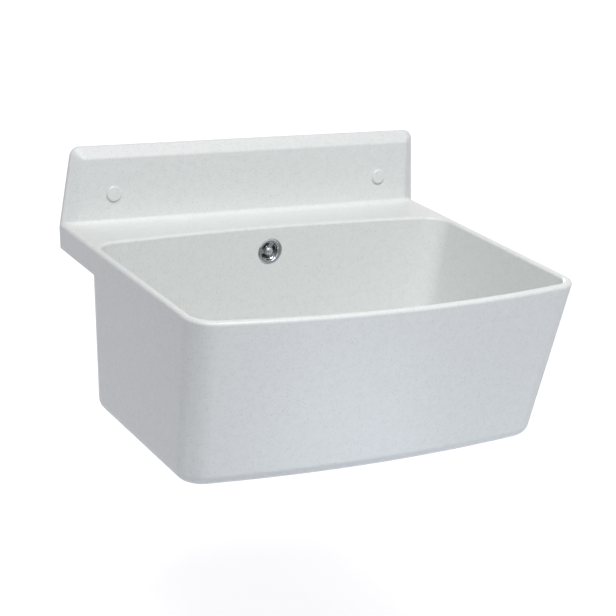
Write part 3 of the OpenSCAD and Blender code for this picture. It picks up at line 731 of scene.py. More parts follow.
def white_plastic(finish):
    """Injection-moulded fittings, slightly uneven in gloss."""
    material, tree, shader, place = surface("white_fittings", finish.plastic, roughness=0.3)
    cloud = noise(tree, place, scale=60.0)
    coloured(tree, shader, blended(tree, cloud, scaled(finish.plastic, 0.96), finish.plastic))
    roughened(tree, shader, noise(tree, place, scale=180.0), least=0.24, most=0.36)
    bumped(tree, shader, noise(tree, place, scale=700.0), distance=0.03 * MM, strength=0.3)
    glowing_through(shader, weight=0.12, radius=(0.004, 0.004, 0.0035))
    return material


def hose_plastic(finish):
    """Soft ribbed plastic, a little dusty."""
    material, tree, shader, place = surface("hose_plastic", finish.hose, roughness=0.45)
    dust = ranged(tree, noise(tree, place, scale=35.0, detail=5.0), given=(0.35, 0.7), wanted=(0.0, 1.0))
    coloured(tree, shader, blended(tree, dust, scaled(finish.hose, 0.92), finish.hose))
    roughened(tree, shader, noise(tree, place, scale=150.0), least=0.37, most=0.53)
    bumped(tree, shader, noise(tree, place, scale=500.0), distance=0.04 * MM, strength=0.3)
    glowing_through(shader, weight=0.2, radius=(0.005, 0.005, 0.004))
    return material


def chrome(finish):
    """Bright plate with faint smears."""
    material, tree, shader, place = surface("bright_chrome", finish.chrome, roughness=0.09, metallic=1.0)
    smear = noise(tree, place, scale=120.0, detail=4.0, stretch=(1.0, 1.0, 0.3))
    roughened(tree, shader, smear, least=0.05, most=0.16, given=(0.3, 0.75))
    coloured(tree, shader, blended(tree, smear, scaled(finish.chrome, 0.96), finish.chrome))
    bumped(tree, shader, noise(tree, place, scale=400.0), distance=0.008 * MM, strength=0.4)
    return material


def stainless(finish):
    """Drawn stainless sheet, finely brushed."""
    material, tree, shader, place = surface("stainless", finish.steel, roughness=0.24, metallic=1.0)
    grain = noise(tree, place, scale=220.0, detail=5.0, stretch=(1.0, 9.0, 1.0))
    roughened(tree, shader, grain, least=0.17, most=0.34)
    coloured(tree, shader, blended(tree, grain, scaled(finish.steel, 0.9), scaled(finish.steel, 1.04)))
    bumped(tree, shader, grain, distance=0.01 * MM, strength=0.35)
    return material


def zinc(finish):
    """Zinc plate: cloudy and slightly dull."""
    material, tree, shader, place = surface("zinc_plate", finish.zinc, roughness=0.36, metallic=1.0)
    cloud = noise(tree, place, scale=160.0, detail=5.0)
    roughened(tree, shader, cloud, least=0.28, most=0.48)
    coloured(tree, shader, blended(tree, cloud, scaled(finish.zinc, 0.82), scaled(finish.zinc, 1.08)))
    bumped(tree, shader, noise(tree, place, scale=900.0), distance=0.01 * MM, strength=0.4)
    return material


def brass(finish):
    """Turned brass."""
    material, tree, shader, place = surface("turned_brass", finish.brass, roughness=0.3, metallic=1.0)
    tarnish = noise(tree, place, scale=130.0, detail=5.0)
    roughened(tree, shader, tarnish, least=0.22, most=0.42)
    coloured(tree, shader, blended(tree, tarnish, scaled(finish.brass, 0.8), finish.brass))
    bumped(tree, shader, tarnish, distance=0.01 * MM, strength=0.3)
    return material


def rubber(finish):
    """Moulded black rubber with a dusty bloom."""
    material, tree, shader, place = surface("moulded_rubber", finish.rubber, roughness=0.6, specular=0.35)
    bloom = ranged(tree, noise(tree, place, scale=90.0, detail=6.0), given=(0.45, 0.8), wanted=(0.0, 0.5))
    coloured(tree, shader, blended(tree, bloom, finish.rubber, finish.bloom))
    roughened(tree, shader, noise(tree, place, scale=200.0), least=0.52, most=0.68)
    bumped(tree, shader, noise(tree, place, scale=1100.0), distance=0.03 * MM, strength=0.5)
    return material


MAKERS = {
    "granite": granite, "granite_cap": granite, "white_plastic": white_plastic, "hose_plastic": hose_plastic,
    "chrome": chrome, "stainless": stainless, "zinc_steel": zinc, "brass": brass, "black_rubber": rubber,
    "plug_rubber": rubber}


def material_for(slot):
    """The material of a slot of the record, made once; its name is kept in the scene."""
    maker, scene = MAKERS[slot], bpy.context.scene
    key = "sink_" + maker.__name__
    if scene.get(key, "") not in bpy.data.materials:
        scene[key] = maker(scene.sink_finish).name
    return bpy.data.materials[scene[key]]


def repaint(*node_names):
    """Gives construction nodes that stay in view their detailed materials."""
    slots = {part["node"]: part["material_slot"] for part in frame["record"]["subparts"]}
    for node_name in node_names:
        mesh = frame["nodes"][node_name].data
        mesh.materials.clear()
        mesh.materials.append(material_for(slots[node_name]))


# ---------- Basin ----------
class BasinShape:
    """Level slices of the bowl and the ledge, from the rim downwards."""

    # Steps along an outline: a corner, the back, the front, a side and the splashback's side
    CORNER, BACK, FRONT, SIDE, CLIMB = 20, 40, 64, 16, 8
    # Steps down a section: a rolled edge, the skirt, its foot, the wall outside and inside, the hollow
    # between wall and floor, the sloping floor and an eased edge of the bevel
    EDGE, SKIRT, FOOT, WALL, INNER_WALL, HOLLOW, FALL, EASE = 10, 3, 4, 10, 12, 12, 8, 6

    OVER = 8 * MM          # how far the ledge is drawn past the wall before it is cut
    OVER_BOW = 1 * MM      # bow and corner of that end
    OVER_CORNER = 2 * MM
    LEAST = 1 * MM         # smallest corner that an inset leaves
    TINY = 1e-9            # keeps a division away from zero
    WASTE_FLAT = 7 * MM    # flat floor round the strainer's flange
    PAD_FLAT = 11 * MM     # flat underside round it
    SUNK = 6 * MM          # how far the splashback reaches down into the ledge
    BURIED = 0.3 * MM      # how far the hollow's filling reaches into what it joins
    ROOT_IN = 1.6 * MM     # how far that filling stays inside the splashback's side

    def __init__(self, sizes):
        self.s = sizes
        self.half = sizes.width / 2
        self.front_y = -(sizes.depth - sizes.bow_top)
        self.rim_z = high("basin").z - sizes.splash_height
        self.bowl_height = self.rim_z - low("basin").z - sizes.floor_fall
        self.waste = Vector((middle("strainer").x, middle("strainer").y, 0))
        self.drain_z = high("strainer").z
        self.flange = radius_of("strainer")

    def end_points(self, w, y, bow, r, side, count):
        """One bowed end: its corner arc, the arc between the corners and the other corner arc."""
        big = (w * w + bow * bow) / (2 * bow)
        turn = math.atan2(math.sqrt((big - r) ** 2 - (w - r) ** 2), w - r)
        centre = side * (y * side + bow - big)
        corner_y = centre + side * (big - r) * math.sin(turn)
        t = np.linspace(0, turn, self.CORNER + 1)
        first = np.stack([w - r + r * np.cos(t), corner_y + side * r * np.sin(t)], 1)
        t = np.linspace(turn, math.pi - turn, count + 1)[1:-1]
        arc = np.stack([big * np.cos(t), centre + side * big * np.sin(t)], 1)
        return np.concatenate([first, arc, first[::-1] * (-1, 1)])

    def outline(self, w, back, front):
        """Whole outline, anticlockwise from the right end of the back; an end is (place, bow, corner)."""
        back = self.end_points(w, *back, 1, self.BACK)
        front = self.end_points(w, *front, -1, self.FRONT)[::-1]
        t = np.linspace(0, 1, self.SIDE + 1)[1:-1, None]
        left = back[-1] + (front[0] - back[-1]) * t
        right = front[-1] + (back[0] - front[-1]) * t
        return np.concatenate([back, left, front, right])

    def lean(self, down):
        """Share of the walls' lean at a distance below the rim."""
        return (down - self.s.rim_radius) / (self.bowl_height - self.s.rim_radius)

    def front_end(self, t, inset):
        """Place, bow and corner of the front at a share of the lean."""
        s = self.s
        corner = s.corner_top + (s.corner_low - s.corner_top) * t - inset
        bow = s.bow_top + (s.bow_low - s.bow_top) * t
        return self.front_y + s.front_in * t + inset, bow, max(self.LEAST, corner)

    def bowl(self, down, inset):
        """Outline of the bowl's outside, moved inwards by the inset."""
        s, t = self.s, self.lean(down)
        corner = s.back_corner_top + (s.back_corner_low - s.back_corner_top) * t - inset
        back = (-s.back_gap - s.back_in * t - inset, s.back_bow, max(self.LEAST, corner))
        return self.outline(self.half - s.side_in * t - inset, back, self.front_end(t, inset))

    def ledge(self, down, inset):
        """Outline of bowl and ledge together, drawn past the wall."""
        t = self.lean(down)
        back = (self.OVER, self.OVER_BOW, self.OVER_CORNER)
        return self.outline(self.half - self.s.side_in * t - inset, back, self.front_end(t, inset))

    def inside(self, down, grow):
        """Outline of the bowl's inside, moved outwards by grow."""
        s = self.s
        return self.bowl(down, s.rim_width + (s.wall - s.rim_width) * down / self.bowl_height - grow)

    def level(self, points, down):
        """Outline as a ring in space, at a distance below the rim."""
        return np.column_stack([points, np.full(len(points), self.rim_z - down)])

    def falling(self, edge, down, radius, bottom):
        """Rings of the sloping floor, from its edge straight to the round flat about the waste."""
        centre = np.array(self.waste[:2])
        off = edge - centre
        circle = centre + off * radius / np.linalg.norm(off, axis=1)[:, None]
        steps = np.linspace(0, 1, self.FALL + 1)[1:]
        return [self.level(edge + (circle - edge) * t, down + (bottom - down) * t) for t in steps]

    def outer_rings(self):
        """Outside of the basin, from the rim to the flat about the waste."""
        s, rings = self.s, []
        for a in quarter(self.EDGE):
            down = s.rim_radius * (1 - math.cos(a))
            rings.append(self.level(self.ledge(down, s.rim_radius * (1 - math.sin(a))), down))
        for down in np.linspace(s.rim_radius, s.skirt - s.skirt_radius, self.SKIRT + 1)[1:]:
            rings.append(self.level(self.ledge(down, 0), down))
        foot = s.skirt + s.skirt_step
        inner = self.bowl(foot, 0)
        for a in quarter(self.FOOT)[1:]:
            down = s.skirt - s.skirt_radius * (1 - math.sin(a))
            outer = self.ledge(down, 0)
            gap = inner - outer
            reach = np.linalg.norm(gap, axis=1)[:, None]
            step = np.minimum(reach / 2, s.skirt_radius * (1 - math.cos(a)))
            rings.append(self.level(outer + gap * step / np.maximum(reach, self.TINY), down))
        rings.append(self.level(inner, foot))
        last = self.bowl_height - s.under_radius
        for down in np.linspace(foot, last, self.WALL + 1)[1:-1]:
            rings.append(self.level(self.bowl(down, 0), down))
        for a in quarter(self.EDGE):
            down = self.bowl_height - s.under_radius * (1 - math.sin(a))
            rings.append(self.level(self.bowl(down, s.under_radius * (1 - math.cos(a))), down))
        edge = self.bowl(self.bowl_height, s.under_radius)
        pad = self.flange + self.PAD_FLAT
        return rings + self.falling(edge, self.bowl_height, pad, self.bowl_height + s.floor_fall)

    def inner_rings(self):
        """Cutter for the inside, from above the rim to the flat about the waste."""
        s = self.s
        rings = [self.level(self.inside(0, s.lip_radius), -s.lip_radius)]
        for a in quarter(self.EDGE):
            down = s.lip_radius * (1 - math.cos(a))
            rings.append(self.level(self.inside(down, s.lip_radius * (1 - math.sin(a))), down))
        floor = self.bowl_height - s.wall
        for down in np.linspace(s.lip_radius, floor - s.floor_radius, self.INNER_WALL + 1)[1:-1]:
            rings.append(self.level(self.inside(down, 0), down))
        for a in quarter(self.HOLLOW):
            down = floor - s.floor_radius * (1 - math.sin(a))
            rings.append(self.level(self.inside(down, -s.floor_radius * (1 - math.cos(a))), down))
        edge = self.inside(floor, -s.floor_radius)
        return rings + self.falling(edge, floor, self.flange + self.WASTE_FLAT, self.rim_z - self.drain_z)

    def splash_ring(self, part, out):
        """Outline of the splashback at a share of the bevel, as seen from the front."""
        s = self.s
        foot = self.half - s.splash_inset - part * s.bevel_foot
        radius = s.splash_radius + (s.bevel_soft - s.splash_radius) * min(max(part, 0), 1)
        cx = self.half - s.splash_inset - s.splash_in - part * s.bevel_width - radius
        cz = s.splash_height - part * s.bevel_width - radius
        start = math.acos(radius / math.hypot(foot - cx, cz)) - math.atan2(cz, foot - cx)
        t = np.linspace(start, QUARTER_TURN, self.CORNER + 1)
        arc = np.stack([cx + radius * np.cos(t), cz + radius * np.sin(t)], 1)
        side = np.array([[foot, -self.SUNK], [foot, 0]])
        climb = side[1] + (arc[0] - side[1]) * np.linspace(0, 1, self.CLIMB + 1)[1:-1, None]
        right = np.concatenate([side, climb, arc])
        whole = np.concatenate([right, right[::-1] * (-1, 1)])
        return np.column_stack([whole[:, 0], np.full(len(whole), -out), self.rim_z + whole[:, 1]])

    def splash_rings(self):
        """Sections from the wall to the face, with both edges of the bevel eased."""
        s = self.s
        soft, run = s.bevel_soft, s.splash_depth - s.splash_edge
        slope = Vector((1, run / s.bevel_width)).normalized() * soft / s.bevel_width
        ease = Vector((slope.x, slope.y * s.bevel_width))
        outer_edge, face_edge = Vector((0, s.splash_edge)), Vector((1, s.splash_depth))
        steps = [Vector((0, -self.OVER))]
        for corner, before, after in (
                (outer_edge, outer_edge - Vector((0, soft)), outer_edge + ease),
                (face_edge, face_edge - ease, face_edge + Vector((soft / s.bevel_width, 0)))):
            for t in np.linspace(0, 1, self.EASE + 1):
                steps.append(before * (1 - t) ** 2 + corner * 2 * t * (1 - t) + after * t * t)
        return [self.splash_ring(part, out) for part, out in steps]

    def root_rings(self):
        """Filling of the hollow between the splashback and the ledge, which fades out towards the wall."""
        s = self.s
        lean, side = s.splash_in / s.splash_height, self.half - s.splash_inset
        levels = [(s.root_radius * (1 - math.sin(a)), s.root_radius * (1 - math.cos(a)) - self.BURIED)
                  for a in quarter(self.EDGE)]
        rings = []
        for up, grow in [*levels, (-1 * MM, s.root_radius - self.BURIED)]:
            outer = side - lean * up - self.ROOT_IN
            inner = side - s.bevel_foot - lean * up + grow
            back, edge, face = self.OVER - MM, -s.splash_edge, -s.splash_depth - grow
            flat = [(outer, back), (-outer, back), (-outer, edge),
                    (-inner, face), (inner, face), (outer, edge)]
            rings.append(np.array([(x, y, self.rim_z + up) for x, y in flat]))
        return rings


def basin_cells(shape, screw_gap):
    """Cutter for the ribbed pockets behind the splashback."""
    s = shape.s
    pitch = screw_gap / s.rib_pitches
    side_margin = 7 * MM
    count = int((shape.half - s.splash_inset - s.splash_in - side_margin) / pitch)
    bottom, top = shape.rim_z + s.pocket_margin, shape.rim_z + s.splash_height - s.pocket_margin
    rows = []
    for row_low, row_high in ((bottom, -s.rib / 2), (s.rib / 2, top)):
        cell = box_mesh("cell", (s.rib / 2, -s.pocket, row_low), (pitch - s.rib / 2, shape.OVER, row_high),
                        s.rib_edge)
        tool = new_object("cell", cell)
        rows.append(grown(new_object("cells", bpy.data.meshes.new("cells")), row_tree(), Tool=tool,
                          Count=2 * count, Pitch=pitch, Start=-count * pitch))
        bpy.data.objects.remove(tool)
    cutter = combined(rows[0], [taken(rows[1])], "UNION")
    at = screw_gap / 2
    bosses = [rod(s.boss_radius, (x, -s.splash_depth, 0), (x, 2 * shape.OVER, 0)) for x in (-at, at)]
    return combined(cutter, bosses, "DIFFERENCE")


def ledge_cut(shape, screw_gap):
    """Cutter for the open space under the ledge, with the ribs left standing."""
    s = shape.s
    inside = shape.half - s.side_in * s.skirt / shape.bowl_height - s.ledge
    past = 20 * MM          # how far it reaches below the skirt
    touch = 0.4 * MM        # what it leaves on the bowl's back wall
    rib_room = 10 * MM      # least distance from the last rib to the skirt
    bottom = shape.rim_z - s.skirt - past
    reach = s.back_gap + s.back_corner_top
    space = new_object("space", box_mesh("space", (-inside, -reach, bottom),
                                         (inside, 2 * shape.OVER, shape.rim_z - s.ledge)))
    wall = shape.bowl(s.skirt + s.skirt_step, -touch)
    plug = loft("wall", [np.column_stack([wall, np.full(len(wall), z)]) for z in (shape.rim_z, bottom - MM)])
    pitch = screw_gap / s.rib_pitches
    ribs = []
    for i in range(1, int((inside - rib_room) / pitch) + 1):
        for x in (-i * pitch, i * pitch):
            ribs.append(box_mesh("rib", (x - s.rib / 2, -reach - MM, shape.rim_z - s.skirt + s.rib_up),
                                 (x + s.rib / 2, 3 * shape.OVER, shape.rim_z), s.rib_edge))
    return combined(space, [plug, *ribs], "DIFFERENCE")


class SINK_OT_basin(bpy.types.Operator):
    """Builds the one-piece basin with its ledge, splashback and ribbed back"""

    bl_idname = "sink.basin"
    bl_label = "Basin"

    PAD_START = 3.3 * MM    # how far behind the rosette's seat the pad starts, inside the wall
    PAST = 5 * MM           # how far a cutter runs past what it cuts
    IN_BOWL = -0.2          # a height in the open bowl, in metres
    FLANGE_ROOM = 0.3 * MM  # gap round the strainer's flange

    def execute(self, context):
        sizes = context.scene.sink_basin
        shape = BasinShape(sizes)
        screw_gap = middle("cover_cap_right").x - middle("cover_cap_left").x
        shell = new_object("basin_shell", loft("basin_shell", shape.outer_rings()))
        combined(shell, [loft("splash", shape.splash_rings()), loft("root", shape.root_rings())], "UNION")
        behind = box_mesh("behind", (-sizes.width, 0, low("basin").z - sizes.depth),
                          (sizes.width, 3 * shape.OVER, sizes.depth))
        backs = [taken(ledge_cut(shape, screw_gap)), taken(basin_cells(shape, screw_gap)), behind]
        combined(shell, backs, "DIFFERENCE")
        over = middle("overflow_rosette")
        seat, pad = high("rosette_seal").y, low("elbow_seal").y

        def across(radius, start, end):
            return rod(radius, (over.x, start, over.z), (over.x, end, over.z))

        def down(radius, bottom):
            x, y, _ = shape.waste
            return rod(radius, (x, y, bottom), (x, y, self.IN_BOWL))

        combined(shell, [across(sizes.pad_radius, seat + self.PAD_START, pad)], "UNION")
        rosette_seat = radius_of("overflow_rosette") + context.scene.sink_overflow.rosette_room
        cutters = [
            loft("bowl", shape.inner_rings()),
            across(rosette_seat, seat - 2 * self.PAST, seat),
            across(sizes.overflow_hole, seat - self.PAST, pad + self.PAST),
            down(shape.flange + self.FLANGE_ROOM, low("strainer_seal").z),
            down(sizes.waste_hole, low("basin").z - MM)]
        for node_name in ("cover_cap_left", "cover_cap_right"):
            x, z = middle(node_name).x, middle(node_name).z
            face, floor = -sizes.splash_depth, -sizes.screw_sink_floor
            cutters.append(rod(sizes.screw_hole, (x, 2 * MM, z), (x, face, z)))
            cutters.append(rod(sizes.screw_sink, (x, floor, z), (x, 2 * face, z)))
        combined(shell, cutters, "DIFFERENCE")
        finished(shell, "granite", "basin")
        return {"FINISHED"}


# ---------- Wall fixing ----------
PLAY = 0.3    # gap between fittings that slip into each other, in millimetres


def facing_front(x, y, z):
    """Matrix that lays a piece drawn along Z with its top towards the room."""
    return Matrix.Translation((x, y, z)) @ Matrix.Rotation(QUARTER_TURN, 4, "X")


def at_screw(side):
    place = middle("cover_cap_" + side)
    return facing_front(place.x, 0, place.z)


class SINK_OT_wall_fixing(bpy.types.Operator):
    """Builds the wall screws, their cups and the cover caps"""

    bl_idname = "sink.wall_fixing"
    bl_label = "Wall fixing"

    SIDES = ("left", "right")

    def execute(self, context):
        sizes, basin = context.scene.sink_fixing, context.scene.sink_basin
        face = basin.splash_depth / MM
        for side in self.SIDES:
            self.cap(side, sizes, face)
        self.cups(sizes, basin, face)
        self.screws(sizes, basin)
        return {"FINISHED"}

    def cap(self, side, sizes, face):
        """Domed cap with a skirt that clips into the cup."""
        node_name = "cover_cap_" + side
        radius = radius_of(node_name) / MM
        top, back = -low(node_name).y / MM, -high(node_name).y / MM
        skirt, hollow = sizes.cup_bore / MM - PLAY, sizes.head / MM + PLAY
        edge, dome = sizes.cap_edge / MM, sizes.cap_dome / MM
        corners = [
            (0, face), (hollow, face, 0.3), (hollow, back), (skirt - 0.2, back, 0.3),
            (skirt, back + 0.7, 0.2), (skirt - 0.15, face), (radius, face, 0.25),
            (radius, top - dome, edge), (radius * 0.5, top - dome * 0.25), (0, top)]
        piece = new_object("cap_" + side, revolved(node_name, corners, place=at_screw(side)))
        finished(piece, "granite_cap", node_name, "cap_" + side)

    def cups(self, sizes, basin, face):
        """Cups that line the counterbores, each with a short spigot in the screw hole."""
        floor, rim = basin.screw_sink_floor / MM, face - 1
        spigot, spigot_end = basin.screw_hole / MM - PLAY, floor - 5
        outer, bore = basin.screw_sink / MM - PLAY, sizes.cup_bore / MM
        inner, seat = sizes.thread / MM + PLAY, floor + sizes.cup_floor / MM
        corners = [
            (inner, spigot_end), (spigot, spigot_end, 0.4), (spigot, floor), (outer, floor, 0.3),
            (outer, rim, 0.4), (bore, rim, 0.3), (bore, seat, 0.4), (inner, seat, 0.3)]
        cups = [revolved("cup", corners, place=at_screw(side)) for side in self.SIDES]
        finished(joined("screw_cups_both", cups), "white_plastic", "screw_cups")

    def screws(self, sizes, basin):
        """Pointed screws with a hexagon socket in the head."""
        head, socket = sizes.head / MM, sizes.socket / MM
        seat = (basin.screw_sink_floor + sizes.cup_floor) / MM
        top, above = seat + sizes.head_height / MM, seat + sizes.head_height / MM + 2
        thread, shank_end = sizes.thread / MM, -3
        shank = thread - 0.5
        screw = new_object("screw", threaded(
            "screw", thread, sizes.thread_depth / MM, sizes.thread_pitch / MM,
            bottom=-high("wall_screws").y / MM, top=0.5, taper=sizes.tip / MM))
        combined(screw, [revolved("head", [
            (0, shank_end), (shank, shank_end), (shank, seat), (head, seat, 0.4), (head, top, 1.1),
            (0, top)])], "UNION")
        combined(screw, [revolved("socket", [
            (0, seat + 1), (socket, seat + 1), (socket, above), (0, above)], 6)], "DIFFERENCE")
        copies = [moved(screw.data.copy(), at_screw(side)) for side in self.SIDES]
        bpy.data.objects.remove(screw)
        finished(joined("wall_screws_both", copies), "zinc_steel", "wall_screws")


# ---------- Overflow ----------
def slotted_screw(name, head, edge, dome, slot, bolt, tail, turn):
    """Screw with a domed, slotted head on z = 0, in millimetres; its slot is turned from X."""
    piece = new_object(name, revolved(name, [
        (0, 0), (head, 0, 0.2), (head, edge, 0.3), (head * 0.72, edge + dome * 0.75),
        (head * 0.4, edge + dome * 0.97), (0, edge + dome)]))
    stem = threaded("stem", bolt, depth=bolt * 0.14, pitch=bolt * 0.3, bottom=tail, top=0.4, steps=28, rows=6)
    combined(piece, [stem], "UNION")
    groove = box_mesh("groove", (-2 * head * MM, -slot / 2 * MM, edge * MM),
                      (2 * head * MM, slot / 2 * MM, 2 * head * MM))
    return combined(piece, [moved(groove, Matrix.Rotation(turn, 4, "Z"))], "DIFFERENCE")


def port_solids(sizes, reach, place):
    """Neck and thread of a port that reaches a distance along Z, in millimetres."""
    outer, neck = sizes.port / MM, sizes.port / MM - 0.6
    return [
        revolved("neck", [(0, 0), (neck, 0), (neck, reach, 0.5), (0, reach)], place=place),
        threaded("thread", outer, depth=0.9, pitch=1.8, bottom=reach - 14.5, top=reach - 0.5, inner=outer - 2,
                 place=place)]


def port_bore(sizes, start, reach, place):
    """Cutter for a port's bore, in millimetres."""
    bore, end = sizes.port_bore / MM, reach + 2
    return revolved("bore", [(0, start), (bore, start), (bore, end), (0, end)], place=place)


class SINK_OT_overflow(bpy.types.Operator):
    """Builds the overflow's rosette, its screw and the elbow behind the bowl, and gives the seals their
    materials
    """

    bl_idname = "sink.overflow"
    bl_label = "Overflow"

    # In millimetres; a height is from the rosette's seat towards the room
    HUB_TOP = 0.8           # height at which the rosette's screw sits
    DISH_FLOOR = -2.4       # height of the slotted floor
    DISH_BACK = -3.8        # height of that floor's back
    TUBE = 13.4             # outer radius of the rosette's tube
    SLOT_STEPS = 16         # steps along a slot
    ELBOW_BORE = 14.5       # inner radius of the elbow's chamber
    ELBOW_FLANGE = 3.5      # thickness of its flange
    ELBOW_BACK = 2.5        # thickness of its closed end
    INSERT_BOSS = 6.5       # outer radius of the boss round the brass insert
    INSERT_HOLE = 4.05      # and of the insert's hole

    def execute(self, context):
        sizes = context.scene.sink_overflow
        centre, seat = middle("overflow_rosette"), high("rosette_seal").y
        at_rosette = facing_front(centre.x, seat, centre.z)
        self.rosette(sizes, at_rosette)
        tail = (seat - high("rosette_screw").y) / MM
        screw = slotted_screw("rosette_bolt", head=sizes.bolt_head / MM, edge=1.0, dome=1.1, slot=1.2,
                              bolt=sizes.bolt / MM, tail=tail - self.HUB_TOP, turn=math.radians(62))
        moved(screw.data, at_rosette @ Matrix.Translation((0, 0, self.HUB_TOP * MM)))
        finished(screw, "stainless", "rosette_screw")
        self.elbow(sizes)
        repaint("rosette_seal", "elbow_seal", "elbow_insert")
        return {"FINISHED"}

    def rosette(self, sizes, place):
        """Round cover with a rolled rim, a slotted dish and a hub for its screw."""
        radius, tube = radius_of("overflow_rosette") / MM, self.TUBE
        top = (high("rosette_seal").y - low("overflow_rosette").y) / MM
        seal, hub, bolt = sizes.seal / MM, sizes.hub / MM, sizes.bolt / MM + 0.2
        floor, back = self.DISH_FLOOR, self.DISH_BACK
        piece = new_object("overflow_rosette_ring", revolved("overflow_rosette_ring", [
            (bolt, back), (tube, back, 0.3), (tube, seal), (radius, seal, 0.15), (radius, seal + 1.1, 1.2),
            (radius - 2.1, top, 1.6), (radius - 4.4, top - 0.25, 1.4), (tube - 1.3, 0.4, 1.2),
            (tube - 1.6, floor, 0.5), (hub + 0.3, floor, 0.4), (hub, self.HUB_TOP, 0.7),
            (bolt, self.HUB_TOP)], 128))
        slot_in, slot_out, last = hub + 0.8, tube - 2.2, self.SLOT_STEPS
        turns = np.linspace(-sizes.slot_span / 2, sizes.slot_span / 2, last + 1)
        arc = np.stack([np.cos(turns), np.sin(turns)], 1)
        outline = [*(arc * slot_out), *(arc[::-1] * slot_in)]
        ends = (0, last, last + 1, 2 * last + 1)
        rounded = filleted([(x, y, 0.5 if i in ends else 0) for i, (x, y) in enumerate(outline)], 3)
        levels = (floor + 2, back - 2)
        slot = loft("slot", [np.array([(x * MM, y * MM, z * MM) for x, y in rounded]) for z in levels])
        ringed(piece, "DIFFERENCE", slot, sizes.slots, "chrome", turn=sizes.slot_turn)
        moved(piece.data, place)
        finished(piece, "chrome", "overflow_rosette")

    def elbow(self, sizes):
        """Chamber behind the bowl with a flange, a boss for the brass insert and a port for the hose."""
        lowest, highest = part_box("overflow_elbow")
        x, z = middle("overflow_elbow").x, middle("overflow_rosette").z
        seal = high("elbow_seal").y
        flange = (highest.x - lowest.x) / 2 / MM
        span, down = (highest.y - seal) / MM, (z - lowest.z) / MM
        bore = self.ELBOW_BORE
        outer = bore + sizes.elbow_wall / MM
        to_wall = Matrix.Translation((x, seal, z)) @ Matrix.Rotation(-QUARTER_TURN, 4, "X")
        to_floor = Matrix.Translation((x, middle("hose_nut_upper").y, z)) @ Matrix.Rotation(math.pi, 4, "X")
        body = new_object("elbow_body", revolved("elbow_body", [
            (0, 0), (flange, 0, 0.3), (flange, self.ELBOW_FLANGE, 0.8),
            (outer + 0.01, self.ELBOW_FLANGE, 1.2), (outer, span, 2.2), (0, span)], place=to_wall))
        combined(body, port_solids(sizes, down, to_floor), "UNION")
        insert_from, insert_to = (low("elbow_insert").y - seal) / MM, (high("elbow_insert").y - seal) / MM
        end, boss, hole = span - self.ELBOW_BACK, self.INSERT_BOSS, self.INSERT_HOLE
        hollow = new_object("hollow", revolved("hollow", [
            (0, -2), (bore, -2), (bore, end, 1.0), (0, end)], place=to_wall))
        combined(hollow, [revolved("boss", [
            (0, insert_from), (boss, insert_from, 0.4), (boss, span + 2), (0, span + 2)], place=to_wall)],
            "DIFFERENCE")
        drill = revolved("drill", [
            (0, insert_from - 2), (hole, insert_from - 2), (hole, insert_to), (0, insert_to)], place=to_wall)
        combined(body, [taken(hollow), drill, port_bore(sizes, 8, down, to_floor)], "DIFFERENCE")
        finished(body, "white_plastic", "overflow_elbow")


